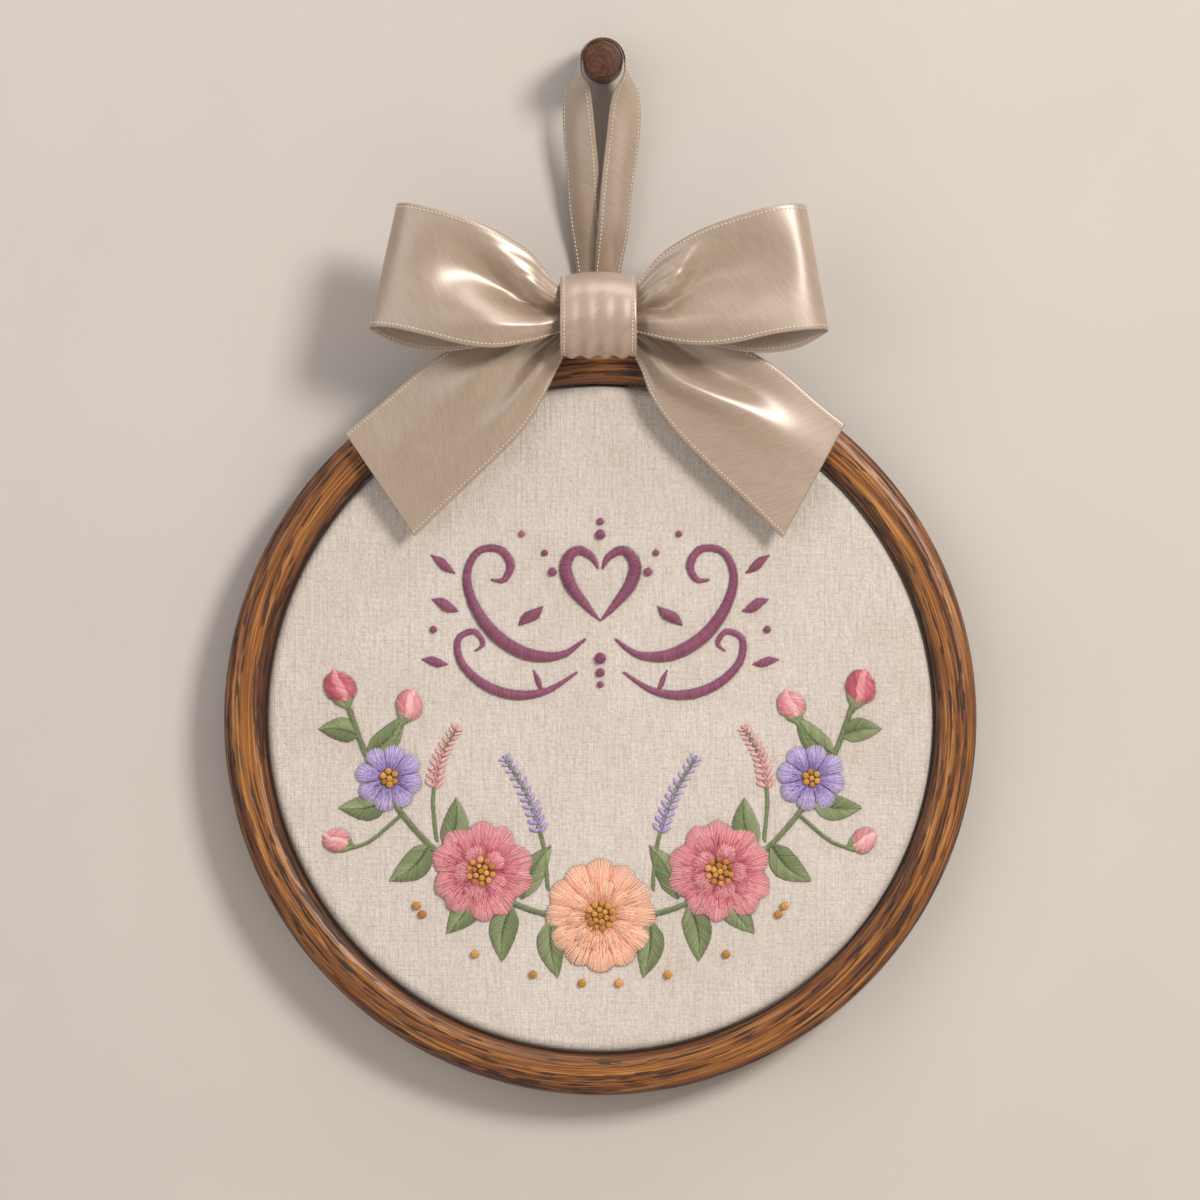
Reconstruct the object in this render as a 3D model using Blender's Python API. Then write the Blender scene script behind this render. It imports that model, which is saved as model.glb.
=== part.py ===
"""An embroidered linen round in a wooden hoop, hung from a short peg by a satin ribbon with a bow.

Frame: origin at the centre of the peg's back face, on the wall. +X is right and +Z is up for a
person who faces the wall, and the front of the piece looks along -Y. Depths below are distances
out from the wall, along -Y. Tables and sizes are in millimetres and become metres in the meshes.
"""

import math
from collections import namedtuple

import bmesh
import bpy
from mathutils import Vector

MM = 0.001
GAP = 0.4

# Peg
PEG_RADIUS = 6.0
PEG_LENGTH = 24.0
PEG_CHAMFER = 0.8
PEG_SIDES = 40

# Hoop: both rings and the linen turn on one axis, along Y through (HOOP_X, HOOP_Z)
HOOP_X = -0.8
HOOP_Z = -201.1
OUTER_RADIUS = 115.0
BAR_WIDTH = 12.6
HOOP_BACK = 5.3
HOOP_FRONT = 17.8
BAR_ROUND_FRONT = 4.6
BAR_ROUND_BACK = 1.6
INNER_BAR = 3.0
RING_SEGMENTS = 96
CORNER_STEPS = 4

# Linen
LINEN_THICK = 1.0
LINEN_DEPTH = 14.4
LINEN_CORNER = 2.6
LINEN_EDGE_DEPTH = 6.4

# Ribbons
RIBBON_THICK = 1.0
LOOP_STEPS = 3
ACROSS = 8
LEG_ACROSS = 4
PLEATS = 1.5

# Knot band
KNOT_X = -1.4
BAND_WIDTH = 23.2
BAND_ACROSS = 6

Section = namedtuple("Section", "x_top z_top x_low z_low depth crown pleat swell")

# Left loop from the middle of the knot, out along the front, round its fold and back behind.
LEFT_LOOP = [
    Section(-1.4, -70.6, -1.4, -83.2, 31.2, 0.0, 1.2, 0.0),
    Section(-8.0, -70.4, -8.0, -83.3, 31.2, 0.0, 1.3, 0.0),
    Section(-13.6, -69.6, -13.6, -83.4, 31.2, 0.4, 1.3, 0.0),
    Section(-22.8, -58.8, -22.8, -86.6, 35.0, 1.6, 1.0, 0.6),
    Section(-32.1, -53.2, -32.1, -88.3, 37.2, 2.2, 0.6, 0.9),
    Section(-41.4, -49.2, -41.6, -87.7, 38.2, 2.4, 0.3, 0.6),
    Section(-50.8, -46.3, -52.5, -85.0, 38.0, 2.2, 0.1, 0.3),
    Section(-58.4, -44.7, -63.0, -82.6, 36.4, 1.4, 0.0, 0.0),
    Section(-62.0, -44.6, -69.4, -82.0, 33.4, 0.4, 0.0, 0.0),
    Section(-61.2, -45.4, -69.0, -83.6, 30.4, 0.0, 0.0, 0.0),
    Section(-56.2, -47.2, -61.6, -87.0, 28.2, 0.0, 0.0, 0.0),
    Section(-46.0, -50.5, -49.6, -89.2, 27.6, 0.0, 0.0, 0.0),
    Section(-33.0, -56.0, -34.0, -87.0, 27.4, 0.0, 0.3, 0.0),
    Section(-22.0, -63.0, -22.0, -84.6, 27.2, 0.0, 0.6, 0.0),
    Section(-12.0, -69.6, -12.0, -82.6, 27.2, 0.0, 0.8, 0.0),
]

# Right loop from the middle of the knot, out behind, round its fold and back along the front.
RIGHT_LOOP = [
    Section(-1.4, -70.0, -1.4, -82.6, 27.2, 0.0, 0.8, 0.0),
    Section(9.4, -69.6, 9.4, -82.6, 27.2, 0.0, 0.8, 0.0),
    Section(20.0, -62.6, 20.0, -84.6, 27.2, 0.0, 0.6, 0.0),
    Section(32.0, -55.6, 32.6, -87.4, 27.4, 0.0, 0.3, 0.0),
    Section(44.6, -50.4, 46.4, -89.5, 27.6, 0.0, 0.0, 0.0),
    Section(54.6, -47.2, 58.0, -88.2, 28.2, 0.0, 0.0, 0.0),
    Section(59.8, -45.8, 66.2, -84.4, 30.4, 0.0, 0.0, 0.0),
    Section(60.6, -45.2, 67.2, -82.9, 33.4, 0.4, 0.0, 0.0),
    Section(57.2, -45.0, 61.4, -83.1, 36.4, 1.4, 0.0, 0.0),
    Section(49.6, -46.0, 51.0, -84.6, 38.0, 2.2, 0.1, -0.4),
    Section(39.0, -49.0, 39.4, -87.0, 38.2, 2.4, 0.3, -0.8),
    Section(29.0, -52.7, 29.0, -87.6, 37.0, 2.2, 0.6, -1.0),
    Section(19.6, -58.4, 19.6, -86.0, 34.8, 1.6, 1.0, -0.6),
    Section(10.8, -69.6, 10.8, -83.6, 31.2, 0.4, 1.3, 0.0),
    Section(5.2, -70.4, 5.2, -83.3, 31.2, 0.0, 1.3, 0.0),
]

# The tails, from the left cut end through the knot to the right cut end.
TAILS = [
    Section(-78.6, -113.7, -57.3, -145.3, 21.6, 0.8, 0.0, 0.8),
    Section(-69.3, -106.1, -44.5, -133.2, 21.6, 1.2, 0.0, 0.8),
    Section(-58.6, -97.0, -32.4, -121.8, 22.0, 1.4, 0.0, 0.6),
    Section(-48.6, -89.4, -23.2, -111.6, 22.4, 1.4, 0.2, 0.4),
    Section(-37.0, -83.6, -17.2, -102.0, 22.6, 1.2, 0.4, 0.2),
    Section(-24.0, -78.8, -13.2, -93.4, 22.4, 0.8, 0.6, 0.0),
    Section(-12.4, -75.6, -9.6, -88.4, 22.0, 0.2, 0.6, 0.0),
    Section(-1.4, -74.6, -1.4, -87.0, 21.8, 0.0, 0.6, 0.0),
    Section(9.6, -75.6, 7.2, -88.4, 22.0, 0.2, 0.6, 0.0),
    Section(20.6, -78.8, 11.0, -93.8, 22.4, 0.8, 0.6, 0.4),
    Section(34.0, -83.6, 15.0, -103.2, 22.6, 1.2, 0.3, 0.9),
    Section(45.4, -89.2, 21.4, -112.8, 22.4, 1.4, 0.0, 1.2),
    Section(55.0, -95.6, 31.0, -122.8, 22.0, 1.4, 0.0, 1.0),
    Section(64.8, -104.1, 42.6, -133.6, 21.6, 1.2, 0.0, 0.6),
    Section(73.7, -111.2, 54.7, -145.9, 21.6, 0.8, 0.0, 0.4),
]

Leg = namedtuple("Leg", "x z depth width facing cup")

# Each leg of the hanging loop, from the peg down to its end behind the hoop. Facing is 0 where
# the ribbon lies along the peg, edge on to the front, and 90 where it faces the front.
LEFT_LEG = [
    Leg(-7.4, -4.2, 12.4, 12.0, 9.0, 0.1),
    Leg(-7.7, -8.0, 12.3, 12.0, 34.0, 0.4),
    Leg(-7.8, -12.5, 11.8, 12.0, 47.0, 0.8),
    Leg(-7.1, -23.0, 10.2, 11.5, 57.0, 1.5),
    Leg(-6.2, -32.0, 8.4, 11.0, 62.0, 2.0),
    Leg(-5.6, -46.0, 5.2, 10.0, 72.0, 2.0),
    Leg(-3.6, -64.0, 1.9, 9.0, 87.0, 0.9),
    Leg(-3.4, -75.0, 1.7, 9.0, 90.0, 0.5),
    Leg(-3.8, -90.0, 1.7, 9.5, 90.0, 0.4),
    Leg(-4.0, -103.0, 1.7, 10.0, 90.0, 0.2),
]
RIGHT_LEG = [
    Leg(7.4, -4.2, 12.4, 12.0, 9.0, 0.1),
    Leg(7.4, -8.0, 12.3, 12.0, 32.0, 0.4),
    Leg(6.9, -13.0, 11.9, 12.0, 49.0, 0.8),
    Leg(6.1, -23.0, 10.6, 11.5, 62.0, 1.5),
    Leg(4.2, -38.0, 8.8, 10.8, 64.0, 2.1),
    Leg(3.0, -52.0, 7.0, 10.0, 72.0, 2.2),
    Leg(1.4, -65.0, 4.4, 8.0, 87.0, 0.9),
    Leg(1.6, -75.0, 3.6, 9.0, 90.0, 0.5),
    Leg(2.4, -90.0, 3.6, 9.5, 90.0, 0.4),
    Leg(2.8, -103.0, 3.6, 10.0, 90.0, 0.2),
]
PEG_ARC_STEPS = 10
LEG_STEPS = 2
PEG_RIBBON_DEPTH = 12.5
PEG_RIBBON_WIDTH = 12.0

Wrap = namedtuple("Wrap", "depth z width")

# The knot band from its back edge, up over the bow and down the front to its lower lip.
BAND = [
    Wrap(7.4, -83.6, 19.0),
    Wrap(7.4, -76.0, 20.0),
    Wrap(8.6, -69.4, 21.0),
    Wrap(13.0, -66.0, 22.4),
    Wrap(22.0, -65.0, 23.2),
    Wrap(30.6, -66.2, 23.2),
    Wrap(36.0, -71.4, 23.2),
    Wrap(37.8, -79.0, 23.2),
    Wrap(36.6, -86.0, 23.2),
    Wrap(33.2, -90.6, 23.0),
    Wrap(29.6, -91.3, 22.6),
]
BAND_STEPS = 2
BAND_DROOP = 1.6


def clear_scene():
    for item in list(bpy.data.objects):
        bpy.data.objects.remove(item, do_unlink=True)


def finish_material(name, colour, roughness, metallic=0.0):
    material = bpy.data.materials.new(name)
    material.use_nodes = True
    shader = material.node_tree.nodes["Principled BSDF"]
    shader.inputs["Base Color"].default_value = (*colour, 1.0)
    shader.inputs["Roughness"].default_value = roughness
    shader.inputs["Metallic"].default_value = metallic
    return material


def add_object(name, shape, material, smooth_angle=40.0):
    bmesh.ops.recalc_face_normals(shape, faces=shape.faces)
    mesh = bpy.data.meshes.new(name)
    shape.to_mesh(mesh)
    shape.free()
    mesh.shade_smooth()
    mesh.set_sharp_from_angle(angle=math.radians(smooth_angle))
    mesh.materials.append(material)
    item = bpy.data.objects.new(name, mesh)
    bpy.context.collection.objects.link(item)
    return item


def smooth_rows(rows, steps, closed=False):
    """Reads a smooth curve through the rows of a table, with some steps from each row to the next."""
    made = []
    count = len(rows)
    kind = type(rows[0])
    spans = count if closed else count - 1
    for index in range(spans):
        if closed:
            four = [rows[(index + offset) % count] for offset in (-1, 0, 1, 2)]
        else:
            four = [rows[min(max(index + offset, 0), count - 1)] for offset in (-1, 0, 1, 2)]
        for step in range(steps):
            t = step / steps
            weights = (
                0.5 * (-t + 2 * t * t - t * t * t),
                0.5 * (2 - 5 * t * t + 3 * t * t * t),
                0.5 * (t + 4 * t * t - 3 * t * t * t),
                0.5 * (-t * t + t * t * t),
            )
            values = [sum(w * row[col] for w, row in zip(weights, four)) for col in range(len(rows[0]))]
            made.append(kind(*values))
    if not closed:
        made.append(rows[-1])
    return made


def ribbon_line(section):
    """One line of points across the ribbon, from its top edge to its low edge."""
    line = []
    for index in range(ACROSS + 1):
        u = index / ACROSS
        depth = section.depth + section.crown * math.sin(math.pi * u)
        depth += section.pleat * math.sin(2 * math.pi * PLEATS * u)
        depth += section.swell * math.sin(2 * math.pi * u)
        x = section.x_top + (section.x_low - section.x_top) * u
        z = section.z_top + (section.z_low - section.z_top) * u
        line.append(Vector((x, -depth, z)))
    return line


def leg_line(x, z, depth, width, facing, cup, side):
    """One line across the hanging ribbon. Its front edge turns towards the other leg."""
    turn = math.radians(facing)
    along = Vector((side * math.sin(turn), -math.cos(turn), 0.0))
    out = Vector((-side * math.cos(turn), -math.sin(turn), 0.0))
    line = []
    for index in range(LEG_ACROSS + 1):
        u = 2 * index / LEG_ACROSS - 1
        line.append(Vector((x, -depth, z)) + along * (u * width / 2) + out * (cup * (1 - u * u)))
    return line


def sheet_normals(lines, closed):
    """The direction out of the sheet at each point, from the points beside it."""
    count = len(lines)
    normals = []
    for row, line in enumerate(lines):
        before = lines[(row - 1) % count] if closed else lines[max(row - 1, 0)]
        after = lines[(row + 1) % count] if closed else lines[min(row + 1, count - 1)]
        found = []
        for col in range(len(line)):
            across = line[min(col + 1, len(line) - 1)] - line[max(col - 1, 0)]
            along = after[col] - before[col]
            found.append(along.cross(across).normalized())
        normals.append(found)
    return normals


def sheet_solid(name, lines, thickness, material, closed=False):
    """A closed solid: the sheet that runs through the lines, given its thickness."""
    normals = sheet_normals(lines, closed)
    shape = bmesh.new()
    sides = []
    for way in (0.5, -0.5):
        grid = []
        for line, out in zip(lines, normals):
            grid.append([shape.verts.new((p + n * way * thickness) * MM) for p, n in zip(line, out)])
        sides.append(grid)
    front, back = sides
    rows = len(lines)
    last = len(lines[0]) - 1
    for row in range(rows if closed else rows - 1):
        after = (row + 1) % rows
        for col in range(last):
            shape.faces.new((front[row][col], front[row][col + 1], front[after][col + 1], front[after][col]))
            shape.faces.new((back[row][col], back[after][col], back[after][col + 1], back[row][col + 1]))
        shape.faces.new((front[row][0], front[after][0], back[after][0], back[row][0]))
        shape.faces.new((front[row][last], back[row][last], back[after][last], front[after][last]))
    if not closed:
        for row in (0, rows - 1):
            for col in range(last):
                shape.faces.new((front[row][col], back[row][col], back[row][col + 1], front[row][col + 1]))
    return add_object(name, shape, material)


def corner(radius_at, depth_at, radius, start):
    """A quarter round of a turned profile, as (radius, depth) points, about its own centre."""
    points = []
    for step in range(CORNER_STEPS + 1):
        angle = math.radians(start + 90 * step / CORNER_STEPS)
        points.append((radius_at + radius * math.cos(angle), depth_at + radius * math.sin(angle)))
    return points


def turned_ring(name, profile, material, on_axis=False):
    """Turns a profile of (radius, depth) points about the hoop's axis, into one closed body."""
    shape = bmesh.new()
    verts = [shape.verts.new((radius * MM, -depth * MM, 0.0)) for radius, depth in profile]
    edges = [shape.edges.new((a, b)) for a, b in zip(verts, verts[1:])]
    if not on_axis:
        edges.append(shape.edges.new((verts[-1], verts[0])))
    bmesh.ops.spin(
        shape,
        geom=verts + edges,
        cent=(0.0, 0.0, 0.0),
        axis=(0.0, 1.0, 0.0),
        angle=2 * math.pi,
        steps=RING_SEGMENTS,
        use_merge=True,
    )
    bmesh.ops.remove_doubles(shape, verts=shape.verts, dist=0.00001)
    bmesh.ops.translate(shape, verts=shape.verts, vec=(HOOP_X * MM, 0.0, HOOP_Z * MM))
    return add_object(name, shape, material)


def make_peg(material):
    shape = bmesh.new()
    bmesh.ops.create_cone(
        shape,
        cap_ends=True,
        segments=PEG_SIDES,
        radius1=PEG_RADIUS * MM,
        radius2=PEG_RADIUS * MM,
        depth=PEG_LENGTH * MM,
    )
    for vert in shape.verts:
        vert.co = Vector((vert.co.x, -vert.co.z - PEG_LENGTH * MM / 2, vert.co.y))
    shape.normal_update()
    front = [e for e in shape.edges if all(v.co.y < -PEG_LENGTH * MM + 1e-6 for v in e.verts)]
    bmesh.ops.bevel(shape, geom=front, offset=PEG_CHAMFER * MM, segments=2, affect="EDGES")
    return add_object("peg", shape, material)


def make_outer_hoop(material):
    inside = OUTER_RADIUS - BAR_WIDTH
    r_front = BAR_ROUND_FRONT
    r_back = BAR_ROUND_BACK
    profile = corner(OUTER_RADIUS - r_front, HOOP_FRONT - r_front, r_front, 0)
    profile += corner(inside + r_front, HOOP_FRONT - r_front, r_front, 90)
    profile += corner(inside + r_back, HOOP_BACK + r_back, r_back, 180)
    profile += corner(OUTER_RADIUS - r_back, HOOP_BACK + r_back, r_back, 270)
    return turned_ring("outer_hoop", profile, material)


def linen_radius():
    """Radius of the middle of the linen where it runs back between the two hoops."""
    return OUTER_RADIUS - BAR_WIDTH - GAP - LINEN_THICK / 2


def make_inner_hoop(material):
    outside = linen_radius() - LINEN_THICK / 2 - GAP
    inside = outside - INNER_BAR
    front = LINEN_DEPTH - LINEN_THICK / 2 - GAP
    edge = 1.4
    round_corner = LINEN_CORNER - LINEN_THICK / 2
    profile = corner(outside - round_corner, front - round_corner, round_corner, 0)
    profile += [(inside + edge / 2, front), (inside, front - edge / 2)]
    profile += [(inside, HOOP_BACK + 1.2 + edge / 2), (inside + edge / 2, HOOP_BACK + 1.2)]
    profile += [(outside - edge / 2, HOOP_BACK + 1.2), (outside, HOOP_BACK + 1.2 + edge / 2)]
    return turned_ring("inner_hoop", profile, material)


def make_linen(material):
    half = LINEN_THICK / 2
    radius = linen_radius()
    centre_r = radius - LINEN_CORNER
    centre_d = LINEN_DEPTH - LINEN_CORNER
    outer = [(0.0, LINEN_DEPTH + half), (radius * 0.5, LINEN_DEPTH + half)]
    outer += list(reversed(corner(centre_r, centre_d, LINEN_CORNER + half, 0)))
    inner = corner(centre_r, centre_d, LINEN_CORNER - half, 0)
    profile = outer + [(radius + half, LINEN_EDGE_DEPTH), (radius - half, LINEN_EDGE_DEPTH)]
    profile += inner + [(radius * 0.5, LINEN_DEPTH - half), (0.0, LINEN_DEPTH - half)]
    return turned_ring("linen", profile, material, on_axis=True)


def make_hanging_loop(material):
    radius = PEG_RADIUS + GAP + RIBBON_THICK / 2
    left = [Leg(-radius, 0.0, PEG_RIBBON_DEPTH, PEG_RIBBON_WIDTH, 0.0, 0.0)] + LEFT_LEG
    right = [Leg(radius, 0.0, PEG_RIBBON_DEPTH, PEG_RIBBON_WIDTH, 0.0, 0.0)] + RIGHT_LEG
    lines = [leg_line(*leg, 1) for leg in reversed(smooth_rows(left, LEG_STEPS))]
    for step in range(1, PEG_ARC_STEPS):
        angle = math.pi * (1 - step / PEG_ARC_STEPS)
        x = radius * math.cos(angle)
        z = radius * math.sin(angle)
        half = PEG_RIBBON_WIDTH / 2
        line = []
        for index in range(LEG_ACROSS + 1):
            u = 2 * index / LEG_ACROSS - 1
            line.append(Vector((x, -PEG_RIBBON_DEPTH - u * half, z)))
        lines.append(line)
    lines += [leg_line(*leg, -1) for leg in smooth_rows(right, LEG_STEPS)]
    return sheet_solid("hanging_loop", lines, RIBBON_THICK, material)


def make_bow_loops(material):
    rows = smooth_rows(LEFT_LOOP + RIGHT_LOOP, LOOP_STEPS, closed=True)
    lines = [ribbon_line(row) for row in rows]
    return sheet_solid("bow_loops", lines, RIBBON_THICK, material, closed=True)


def make_bow_tails(material):
    lines = [ribbon_line(row) for row in smooth_rows(TAILS, LOOP_STEPS)]
    return sheet_solid("bow_tails", lines, RIBBON_THICK, material)


def make_knot_band(material):
    lines = []
    for wrap in smooth_rows(BAND, BAND_STEPS):
        line = []
        for index in range(BAND_ACROSS + 1):
            u = 2 * index / BAND_ACROSS - 1
            z = wrap.z - (BAND_DROOP * u * u if wrap.z > -80 and wrap.depth > 10 else 0.0)
            line.append(Vector((KNOT_X + u * wrap.width / 2, -wrap.depth, z)))
        lines.append(line)
    return sheet_solid("knot_band", lines, RIBBON_THICK, material)


def build():
    clear_scene()
    walnut = finish_material("walnut dowel", (0.13, 0.052, 0.019), 0.5)
    oak = finish_material("varnished oak", (0.29, 0.11, 0.033), 0.38)
    beech = finish_material("bare beech", (0.55, 0.36, 0.2), 0.6)
    linen = finish_material("linen cloth", (0.66, 0.56, 0.47), 0.9)
    satin = finish_material("champagne satin", (0.6, 0.44, 0.31), 0.35)
    make_peg(walnut)
    make_outer_hoop(oak)
    make_inner_hoop(beech)
    make_linen(linen)
    make_hanging_loop(satin)
    make_bow_tails(satin)
    make_bow_loops(satin)
    make_knot_band(satin)


build()
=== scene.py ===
"""Looks of an embroidered linen round in an oak hoop, hung from a peg by a satin ribbon with a bow.

Frame: the row frame in metres, origin at the centre of the peg's back face, +Z up, the front
looking along -Y. Tables and sizes are in millimetres, depths are distances out from the wall.
"""

import math
from collections import namedtuple
from functools import partial

import bpy
import numpy as np
from mathutils import Matrix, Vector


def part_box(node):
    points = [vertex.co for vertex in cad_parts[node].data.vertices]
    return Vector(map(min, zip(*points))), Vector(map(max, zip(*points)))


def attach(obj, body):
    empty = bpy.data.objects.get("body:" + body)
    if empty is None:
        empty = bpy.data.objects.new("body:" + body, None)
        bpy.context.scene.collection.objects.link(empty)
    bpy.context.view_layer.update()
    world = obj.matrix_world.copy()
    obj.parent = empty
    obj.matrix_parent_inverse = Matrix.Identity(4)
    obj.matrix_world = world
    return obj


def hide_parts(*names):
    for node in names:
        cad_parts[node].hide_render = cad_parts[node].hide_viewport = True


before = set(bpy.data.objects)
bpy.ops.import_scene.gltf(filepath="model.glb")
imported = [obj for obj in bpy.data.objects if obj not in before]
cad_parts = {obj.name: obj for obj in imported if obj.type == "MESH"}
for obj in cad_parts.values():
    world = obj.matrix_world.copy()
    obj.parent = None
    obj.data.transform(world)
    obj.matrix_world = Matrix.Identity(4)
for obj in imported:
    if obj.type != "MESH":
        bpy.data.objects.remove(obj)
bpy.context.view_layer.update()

MM = 0.001


def cad_size(node):
    """A CAD node's box in millimetres: lowest corner, highest corner."""
    low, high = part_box(node)
    return np.array(low) / MM, np.array(high) / MM


PEG_LOW, PEG_HIGH = cad_size("peg")
RING_LOW, RING_HIGH = cad_size("outer_hoop")
INNER_LOW, INNER_HIGH = cad_size("inner_hoop")
LINEN_LOW, LINEN_HIGH = cad_size("linen")
BAND_LOW, BAND_HIGH = cad_size("knot_band")

HOOP_X = (RING_LOW[0] + RING_HIGH[0]) / 2
HOOP_Z = (RING_LOW[2] + RING_HIGH[2]) / 2
RING_RADIUS = (RING_HIGH[0] - RING_LOW[0]) / 2
RING_BAR = 12.6
RING_FRONT = -RING_LOW[1]
RING_BACK = -RING_HIGH[1]
LINEN_SKIN = 0.5
LINEN_FACE = -LINEN_LOW[1] - 0.2
LINEN_RADIUS = (LINEN_HIGH[0] - LINEN_LOW[0]) / 2 - 0.5
LINEN_CORNER = 2.6
SATIN_SKIN = 0.5
OAK_ROUNDING = 4.4
BEECH_BAR = 3.0
BEECH_ROUNDING = 0.9
PEG_CHAMFER = 0.9
PEG_RIM = 1.2
PEG_DISH = 0.12


# ---------------------------------------------------------------- nodes and colours

# a Mix node set to mix colours, and its colour output
IN_COLOUR = {"data_type": "RGBA", "out": 2}


def linear(colour):
    """A linear RGBA colour from an sRGB hex value."""
    parts = [int(colour[i : i + 2], 16) / 255 for i in (1, 3, 5)]
    parts = [c / 12.92 if c <= 0.04045 else ((c + 0.055) / 1.055) ** 2.4 for c in parts]
    return (*parts, 1.0)


def wire(made, inputs):
    """Sets a node's inputs, by name or in order: each to a value, or to the output that feeds it."""
    for name, value in inputs.items() if isinstance(inputs, dict) else enumerate(inputs):
        if isinstance(value, bpy.types.NodeSocket):
            made.id_data.links.new(value, made.inputs[name])
        else:
            made.inputs[name].default_value = value


def node(tree, kind, inputs=(), out=0, stops=(), **settings):
    """Adds a node with its settings, its links and a ramp's (place, colour) stops; gives one output."""
    made = tree.nodes.new("ShaderNode" + kind)
    for name, value in settings.items():
        setattr(made, name, value)
    while stops and len(made.color_ramp.elements) < len(stops):
        made.color_ramp.elements.new(0.5)
    for number, (place, colour) in enumerate(stops):
        made.color_ramp.elements[number].position = place
        made.color_ramp.elements[number].color = linear(colour)
    wire(made, inputs)
    return made.outputs[out]


def new_material(name, **sockets):
    """A material, its Principled shader with plain values on its own sockets, and a way to add nodes."""
    material = bpy.data.materials.new(name)
    material.use_nodes = True
    shader = material.node_tree.nodes["Principled BSDF"]
    wire(shader, {socket.replace("_", " "): value for socket, value in sockets.items()})
    return material, shader, partial(node, material.node_tree)


# ---------------------------------------------------------------- materials


def oak_material():
    """Steam-bent oak, sanded and satin varnished: honey brown with long open pores round the bar."""
    material, shader, add = new_material("varnished_bent_oak", IOR=1.5, Coat_Weight=0.12, Coat_Roughness=0.3)
    place = add("TexCoord", out="Object")
    centred = add("VectorMath", [place, (HOOP_X * MM, 0, HOOP_Z * MM)], operation="SUBTRACT")
    # the grain's two ends meet under the right-hand tail of the bow
    turned = add("VectorRotate", {"Vector": centred, "Angle": -math.radians(35)}, rotation_type="Y_AXIS")
    x, y, z = (add("SeparateXYZ", [turned], out=axis) for axis in "XYZ")
    radius = add("VectorMath", [add("CombineXYZ", {"X": x, "Z": z})], out="Value", operation="LENGTH")
    turn = add("Math", [x, add("Math", [z, -1.0], operation="MULTIPLY")], operation="ARCTAN2")
    along = add("Math", [turn, RING_RADIUS - RING_BAR / 2], operation="MULTIPLY")
    out = add("Math", [radius, 1 / MM], operation="MULTIPLY")
    deep = add("Math", [y, 1 / MM], operation="MULTIPLY")
    # the grain runs off the bar at a slight angle, as in a lath that was sawn nearly straight
    drifted = add("Math", [along, 0.02, out], operation="MULTIPLY_ADD")
    grain = add("CombineXYZ", [along, drifted, deep])
    # in millimetres along and across: broad tones, fibres, pores and the rings that hold the pores
    wave, fibres, pores, bands = (
        add(
            "TexNoise",
            {
                "Vector": add("VectorMath", [grain, (1 / long, 1 / wide, 1 / wide)], operation="MULTIPLY"),
                "Scale": 1.0,
                "Detail": detail,
                "Roughness": roughness,
                "Distortion": distortion,
            },
        )
        for long, wide, detail, roughness, distortion in (
            (55, 5, 2, 0.5, 0),
            (26, 0.55, 3, 0.6, 0),
            (9, 0.8, 1, 0.4, 0.25),
            (70, 2.2, 1, 0.5, 0.3),
        )
    )
    base = add("ValToRGB", [wave], stops=[(0.3, "#6E3A0C"), (0.5, "#8E531A"), (0.72, "#B27632")])
    tone = add("ValToRGB", [fibres], stops=[(0.34, "#3F1D04"), (0.51, "#8A4F18"), (0.66, "#CC9452")])
    colour = add("Mix", {0: 0.62, 6: base, 7: tone}, **IN_COLOUR)
    late = add("MapRange", {"Value": bands, "From Min": 0.5, "From Max": 0.64, "To Max": 0.75})
    open_pore = add("MapRange", {"Value": pores, "From Min": 0.53, "From Max": 0.59})
    within = add("MapRange", {"Value": bands, "From Min": 0.38, "From Max": 0.52})
    dark = add("Math", [open_pore, within], operation="MULTIPLY")
    # painted shade: the bar is darkened down its inside and outside edges, where its rounded faces turn from
    # the light
    inside = RING_RADIUS - RING_BAR
    inner_edge_shade = {"Value": out, "From Min": inside + 3.4, "From Max": inside + 0.2, "To Max": 0.75}
    outer_edge_shade = {"Value": out, "From Min": RING_RADIUS - 2.6, "From Max": RING_RADIUS - 0.3, "To Max": 0.6}
    # the grain rings and open pores are the oak's own colour; the two edge tints are painted shade
    for kind, share, grain_and_shade_tint in (
        ("MULTIPLY", late, "#8A5A35"),
        ("MIX", add("Math", [dark, 0.86], operation="MULTIPLY"), "#230F04"),
        ("MULTIPLY", add("MapRange", inner_edge_shade), "#6A3A18"),
        ("MULTIPLY", add("MapRange", outer_edge_shade), "#7A4A22"),
    ):
        colour = add("Mix", {0: share, 6: colour, 7: linear(grain_and_shade_tint)}, blend_type=kind, **IN_COLOUR)
    rough = add("MapRange", {"Value": fibres, "To Min": 0.34, "To Max": 0.5})
    rough = add("Math", [dark, 0.25, rough], operation="MULTIPLY_ADD")
    height = add("Math", [fibres, 0.35], operation="MULTIPLY")
    height = add("Math", [height, dark], operation="SUBTRACT")
    bump = add("Bump", {"Height": height, "Strength": 0.55, "Distance": 0.25 * MM})
    wire(shader, {"Base Color": colour, "Roughness": rough, "Normal": bump})
    return material


def beech_material():
    """Bare sanded beech, the plain inner hoop: pale, dull, with short fine flecks."""
    material, shader, add = new_material("bare_beech", Roughness=0.62, IOR=1.5)
    place = add("TexCoord", out="Object")
    fleck = add("TexNoise", {"Vector": place, "Scale": 900.0, "Detail": 3.0})
    tone = add("TexNoise", {"Vector": place, "Scale": 60.0, "Detail": 3.0})
    colour = add("ValToRGB", [tone], stops=[(0.3, "#C09A6C"), (0.7, "#D9B98C")])
    spots = add("ValToRGB", [fleck], stops=[(0.42, "#A87C50"), (0.56, "#FFFFFF")])
    colour = add("Mix", {0: 0.5, 6: colour, 7: spots}, blend_type="MULTIPLY", **IN_COLOUR)
    bump = add("Bump", {"Height": fleck, "Strength": 0.25, "Distance": 0.1 * MM})
    wire(shader, {"Base Color": colour, "Normal": bump})
    return material


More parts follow.
